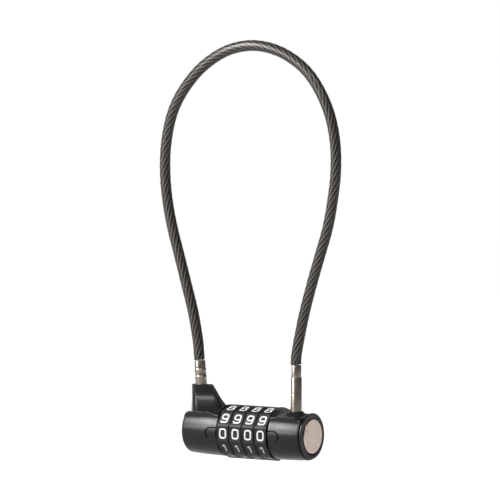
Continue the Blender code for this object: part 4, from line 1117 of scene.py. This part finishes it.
def stage_material():
    """Plain surface, white to the camera and in reflections, that still takes shadows."""
    mat = bpy.data.materials.new("studio_white")
    mat.use_nodes = True
    nodes = mat.node_tree.nodes
    links = mat.node_tree.links
    shader = nodes["Principled BSDF"]
    shader.inputs["Base Color"].default_value = (STAGE_SHADE, STAGE_SHADE, STAGE_SHADE, 1.0)
    shader.inputs["Roughness"].default_value = 0.9
    shader.inputs["Specular IOR Level"].default_value = 0.1
    path = nodes.new("ShaderNodeLightPath")
    seen = path.outputs["Is Camera Ray"]
    for kind in ("Is Glossy Ray", "Is Transmission Ray"):
        either = nodes.new("ShaderNodeMath")
        either.operation = "MAXIMUM"
        links.new(seen, either.inputs[0])
        links.new(path.outputs[kind], either.inputs[1])
        seen = either.outputs[0]
    glow = nodes.new("ShaderNodeMath")
    glow.operation = "MULTIPLY"
    glow.inputs[1].default_value = STAGE_GLOW
    links.new(seen, glow.inputs[0])
    shader.inputs["Emission Color"].default_value = (1.0, 1.0, 1.0, 1.0)
    links.new(glow.outputs[0], shader.inputs["Emission Strength"])
    return mat


def make_stage():
    """Floor below the hanging lock, long enough to fill the picture behind it."""
    low = ORIGIN.z - BARREL_RADIUS - FLOOR_DROP
    bm = bmesh.new()
    corners = [(-FLOOR_HALF_WIDTH, -FLOOR_AHEAD), (FLOOR_HALF_WIDTH, -FLOOR_AHEAD),
               (FLOOR_HALF_WIDTH, FLOOR_BEHIND), (-FLOOR_HALF_WIDTH, FLOOR_BEHIND)]
    bm.faces.new([bm.verts.new((x, y, low)) for x, y in corners])
    floor = new_object("studio_floor", finish_mesh(bm, "studio_floor"), at_barrel=False)
    floor.data.materials.append(stage_material())
    floor.rotation_euler = (0.0, 0.0, math.radians(CAMERA_AZIMUTH))


def unit_towards(azimuth, elevation):
    """Unit vector away from the lock. Azimuth counts from -Y towards +X."""
    around = math.radians(azimuth)
    above = math.radians(elevation)
    return Vector((math.sin(around) * math.cos(above), -math.cos(around) * math.cos(above),
                   math.sin(above)))


def make_lamp(name, azimuth, elevation, distance, size, power, roll):
    """Soft rectangular lamp aimed at the lock."""
    away = unit_towards(azimuth, elevation)
    data = bpy.data.lights.new(name, "AREA")
    data.shape = "RECTANGLE"
    data.size, data.size_y = size
    data.energy = power
    lamp = bpy.data.objects.new(name, data)
    lamp.location = LOOK_AT + away * distance
    facing = away.to_track_quat("Z", "Y") @ Quaternion((0.0, 0.0, 1.0), math.radians(roll))
    lamp.rotation_euler = facing.to_euler()
    bpy.context.scene.collection.objects.link(lamp)


def make_world():
    """Even grey surroundings."""
    world = bpy.data.worlds.new("studio")
    world.use_nodes = True
    background = world.node_tree.nodes["Background"]
    background.inputs["Color"].default_value = (WORLD_SHADE, WORLD_SHADE, WORLD_SHADE, 1.0)
    background.inputs["Strength"].default_value = WORLD_STRENGTH
    bpy.context.scene.world = world


def make_camera():
    """Long lens at the photograph's viewing angle."""
    back = unit_towards(CAMERA_AZIMUTH, CAMERA_ELEVATION)
    data = bpy.data.cameras.new("camera")
    data.lens = CAMERA_LENS
    data.sensor_width = CAMERA_SENSOR
    data.clip_end = CAMERA_REACH
    camera = bpy.data.objects.new("camera", data)
    camera.location = LOOK_AT + back * CAMERA_DISTANCE
    camera.rotation_euler = back.to_track_quat("Z", "Y").to_euler()
    bpy.context.scene.collection.objects.link(camera)
    bpy.context.scene.camera = camera


def main():
    """Build every piece, then the stage, the lights and the camera."""
    enamel = black_enamel("housing_enamel", "housing_black")
    ring_enamel = black_enamel("ring_enamel", "ring_black")
    steel = plated_steel()
    dials = dial_charcoal()
    digits = digit_white()
    make_left_housing(enamel)
    make_right_housing(enamel)
    make_end_ring(ring_enamel)
    make_end_cap(enamel)
    for index in range(len(DIAL_LEFTS)):
        make_dial(index, dials, digits)
    make_button(satin_champagne())
    make_ferrule(steel)
    plug = make_plug(steel)
    make_cable(steel_rope(), smoky_jacket())
    spring = inner_metal("spring_steel", "spring_steel", (0.40, 0.40, 0.42), 0.28)
    make_spring("return_spring", spring)
    make_spring("reset_spring", spring)
    dress_inside(spring)
    make_stage()
    for lamp in LAMPS:
        make_lamp(*lamp)
    make_world()
    make_camera()
    bpy.context.scene.view_settings.view_transform = "Standard"


main()
